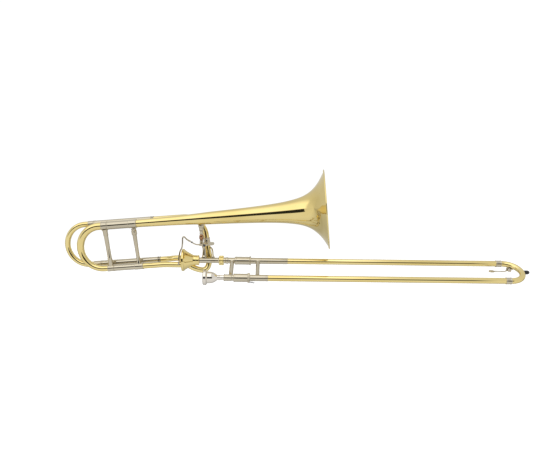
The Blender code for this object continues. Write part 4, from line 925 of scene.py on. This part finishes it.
KEY_TURN = radians(40)
KEY_LEAN = radians(57)
nipple_out = Vector((-sin(KEY_TURN) * cos(KEY_LEAN), sin(KEY_LEAN), -cos(KEY_TURN) * cos(KEY_LEAN)))
nipple_base = (Vector((CROOK_CENTRE, 0, -CROOK_R)) + Vector((sin(KEY_TURN), 0, cos(KEY_TURN))) * CROOK_R
               + nipple_out * TUBE_R)
KEY_RISE = asin(-nipple_out.x)
key_side = (Vector((-1, 0, 0)) + nipple_out * nipple_out.x).normalized()
KEY = (SLIDE @ Matrix.Translation(nipple_base)
       @ Matrix((key_side, nipple_out.cross(key_side), nipple_out)).transposed().to_4x4())
KEY_PADDLE_TILT = radians(25)
PIVOT_OUT = 0.0080
LEVER = KEY @ Matrix.Translation((0.0081, 0, PIVOT_OUT))
work = bmesh.new()
block_into(work, (-0.0050, -0.0050, -0.0030), (0.0100, 0.0050, 0.0022), 0.0011, KEY)
turn_into(work, [(-0.0010, 0.0016), (-0.0010, 0.0038), (0.0020, 0.0036), (0.0034, 0.0032),
                 (0.0044, 0.0034), (0.0054, 0.0032), (0.0054, 0.0016)], KEY, 40, "Z")
for side in (-1, 1):
    block_into(work, (0.0063, side * 0.0041 - 0.0008, 0.0005),
               (0.0099, side * 0.0041 + 0.0008, PIVOT_OUT + 0.0018), 0.0006, KEY)
turn_into(work, [(-0.0052, 0), (-0.0052, 0.0010), (0.0052, 0.0010), (0.0052, 0)], LEVER, 20, "Y")
keep("water_key_saddle_look", work, "nickel_silver", "outer_slide")
work = bmesh.new()
turn_into(work, [(-0.0030, 0.0011), (-0.0030, 0.0017), (0.0030, 0.0017), (0.0030, 0.0011)], LEVER, 32,
          "Y")
PAD = LEVER @ Matrix.Translation((-0.0081, 0, 0))
turn_into(work, [(-0.0010, 0), (-0.0010, 0.0034), (0.0004, 0.0036), (0.0010, 0.0024),
                 (0.0014, 0.0012), (0.0014, 0)], PAD, 40, "Z")
bar_into(work, [(-0.0082, 0, 0.0004), (-0.0040, 0, 0.0009), (0.0004, 0, 0.0006)],
         0.0013, LEVER)
arm_along = Vector((cos(KEY_RISE), 0, sin(KEY_RISE)))
arm_start = Vector((0, 0, 0.0034))
bar_into(work, curved([(-0.0004, 0, 0.0006), arm_start + arm_along * 0.0050,
                       arm_start + arm_along * 0.0180, arm_start + arm_along * 0.0345]),
         [0.0016, 0.0014, 0.0013, 0.0016], LEVER)
paddle_into(work, 0.0160, 0.0048, 0.0024, LEVER @ Matrix.Translation(arm_start + arm_along * 0.0320)
            @ Matrix.Rotation(-KEY_RISE, 4, "Y") @ Matrix.Rotation(-KEY_PADDLE_TILT, 4, "X")
            @ Matrix.Translation((0, 0, -0.0012)), 0.0003)
keep("water_key_lever_look", work, "nickel_silver", "water_key")
lathe("water_key_pad", [(-0.0021, 0), (-0.0021, 0.0030), (-0.0008, 0.0032), (-0.0008, 0)], "cork",
      "water_key", PAD, sides=32, axis="Z")
bar("water_key_spring", coil(0.0021, -0.0020, 0.0040, 4, 20), 0.0003, "spring_steel", "water_key",
    LEVER, sides=8)

# ---- floor, light and camera -----------------------------------------------------------------------

floor_work = bmesh.new()
bmesh.ops.create_grid(floor_work, x_segments=2, y_segments=2, size=FLOOR_SIZE)
floor_mesh = bpy.data.meshes.new("floor")
floor_work.to_mesh(floor_mesh)
floor_work.free()
floor = bpy.data.objects.new("floor", floor_mesh)
floor.location = (0, 0, CAD_BOX[0][2] - FLOOR_DROP)
bpy.context.scene.collection.objects.link(floor)
paper = Surface("floor_paper")
paper.set(Base_Color=(0.93, 0.93, 0.93, 1.0), Roughness=0.9, Specular_IOR_Level=0.0)
paper.set(Emission_Color=(1.0, 1.0, 1.0, 1.0), Emission_Strength=0.35)
floor.data.materials.append(paper.material)
floor.visible_glossy = False


class Sky(Graph):
    """The studio walls, as grey values by direction: long soft banks around the X axis."""

    def __init__(self):
        world = bpy.data.worlds.new("studio")
        bpy.context.scene.world = world
        world.use_nodes = True
        super().__init__(world.node_tree)
        where = self.add("ShaderNodeTexCoord")
        self.split = self.add("ShaderNodeSeparateXYZ")
        self.link(where.outputs["Generated"], self.split.inputs["Vector"])

    def math(self, operation, *values):
        node = self.add("ShaderNodeMath", operation=operation)
        for socket, value in zip(node.inputs, values):
            if isinstance(value, (int, float)):
                socket.default_value = value
            else:
                self.link(value, socket)
        return node.outputs["Value"]


sky = Sky()
turn_about_x = sky.math("ARCTAN2", sky.split.outputs["Z"],
                        sky.math("MULTIPLY", sky.split.outputs["Y"], -1.0))
around = sky.math("ADD", sky.math("DIVIDE", turn_about_x, 2 * pi), 0.5)


def by_angle(stops):
    """A ramp over the turn about the X axis, from straight behind, below and round to above."""
    return sky.ramp(around, [(0.5 + angle / 360, grey) for angle, grey in stops])


walls = by_angle(((-180, 0.66), (-150, 0.47), (-122, 0.60), (-90, 0.76), (-60, 0.85), (-17, 0.86),
                  (17, 0.78), (70, 0.76), (106, 0.74), (150, 0.66), (180, 0.68)))
bank = by_angle(((-180, 0.0), (10, 0.0), (24, 0.68), (70, 0.66), (90, 0.34), (106, 0.04), (180, 0.0)))
gap = by_angle(((-180, 0.0), (-16.5, 0.0), (-15, 1.0), (15, 1.0), (16.5, 0.0), (180, 0.0)))
to_right = sky.math("ADD", sky.math("MULTIPLY", sky.split.outputs["X"], 0.5), 0.5)
bank_length = sky.ramp(to_right, [(0.0, 0.1), (0.055, 0.1), (0.09, 0.9), (0.42, 0.85), (0.50, 1.0),
                                  (0.56, 1.0), (0.62, 0.25), (0.67, 0.05), (1.0, 0.0)])
gap_length = sky.ramp(to_right, [(0.0, 0.0), (0.092, 0.0), (0.104, 1.0), (0.735, 1.0), (0.760, 0.0),
                                 (1.0, 0.0)])
darkness = sky.math("MULTIPLY", sky.math("MULTIPLY", gap, gap_length), DARKNESS)
light = sky.math("ADD", walls, sky.math("MULTIPLY", bank, bank_length))
background = sky.tree.nodes["Background"]
background.inputs["Color"].default_value = (1, 1, 1, 1)
sky.link(sky.math("MULTIPLY", light, sky.math("SUBTRACT", 1.0, darkness)),
         background.inputs["Strength"])
seen = sky.add("ShaderNodeBackground")
seen.inputs["Color"].default_value = (1, 1, 1, 1)
seen.inputs["Strength"].default_value = PAPER_WHITE
path_kind = sky.add("ShaderNodeLightPath")
blend = sky.add("ShaderNodeMixShader")
sky.link(path_kind.outputs["Is Camera Ray"], blend.inputs["Fac"])
sky.link(background.outputs["Background"], blend.inputs[1])
sky.link(seen.outputs["Background"], blend.inputs[2])
sky.link(blend.outputs["Shader"], sky.tree.nodes["World Output"].inputs["Surface"])

lamp = bpy.data.lights.new("key_light", "AREA")
lamp.shape = "RECTANGLE"
lamp.size, lamp.size_y = 2.6, 0.9
lamp.energy = 12.0
key_light = bpy.data.objects.new("key_light", lamp)
key_light.location = (0.1, -1.3, 1.9)
key_light.rotation_euler = Vector((0.05, 1.3, -1.85)).to_track_quat("-Z", "Y").to_euler()
key_light.visible_glossy = False
bpy.context.scene.collection.objects.link(key_light)

camera_data = bpy.data.cameras.new("camera")
camera_data.lens = LENS
camera_data.sensor_width = 36.0
camera_data.sensor_fit = "HORIZONTAL"
camera_data.clip_start = 0.05
camera = bpy.data.objects.new("camera", camera_data)
bpy.context.scene.collection.objects.link(camera)
forward = Vector((sin(CAMERA_YAW), cos(CAMERA_YAW), 0))
level_right = Vector((cos(CAMERA_YAW), -sin(CAMERA_YAW), 0))
level_up = Vector((0, 0, 1))
right = level_right * cos(CAMERA_ROLL) + level_up * sin(CAMERA_ROLL)
up = level_up * cos(CAMERA_ROLL) - level_right * sin(CAMERA_ROLL)
camera.matrix_world = (Matrix.Translation(CAMERA)
                       @ Matrix((right, up, -forward)).transposed().to_4x4())
bpy.context.scene.camera = camera
bpy.context.scene.view_settings.view_transform = "Standard"
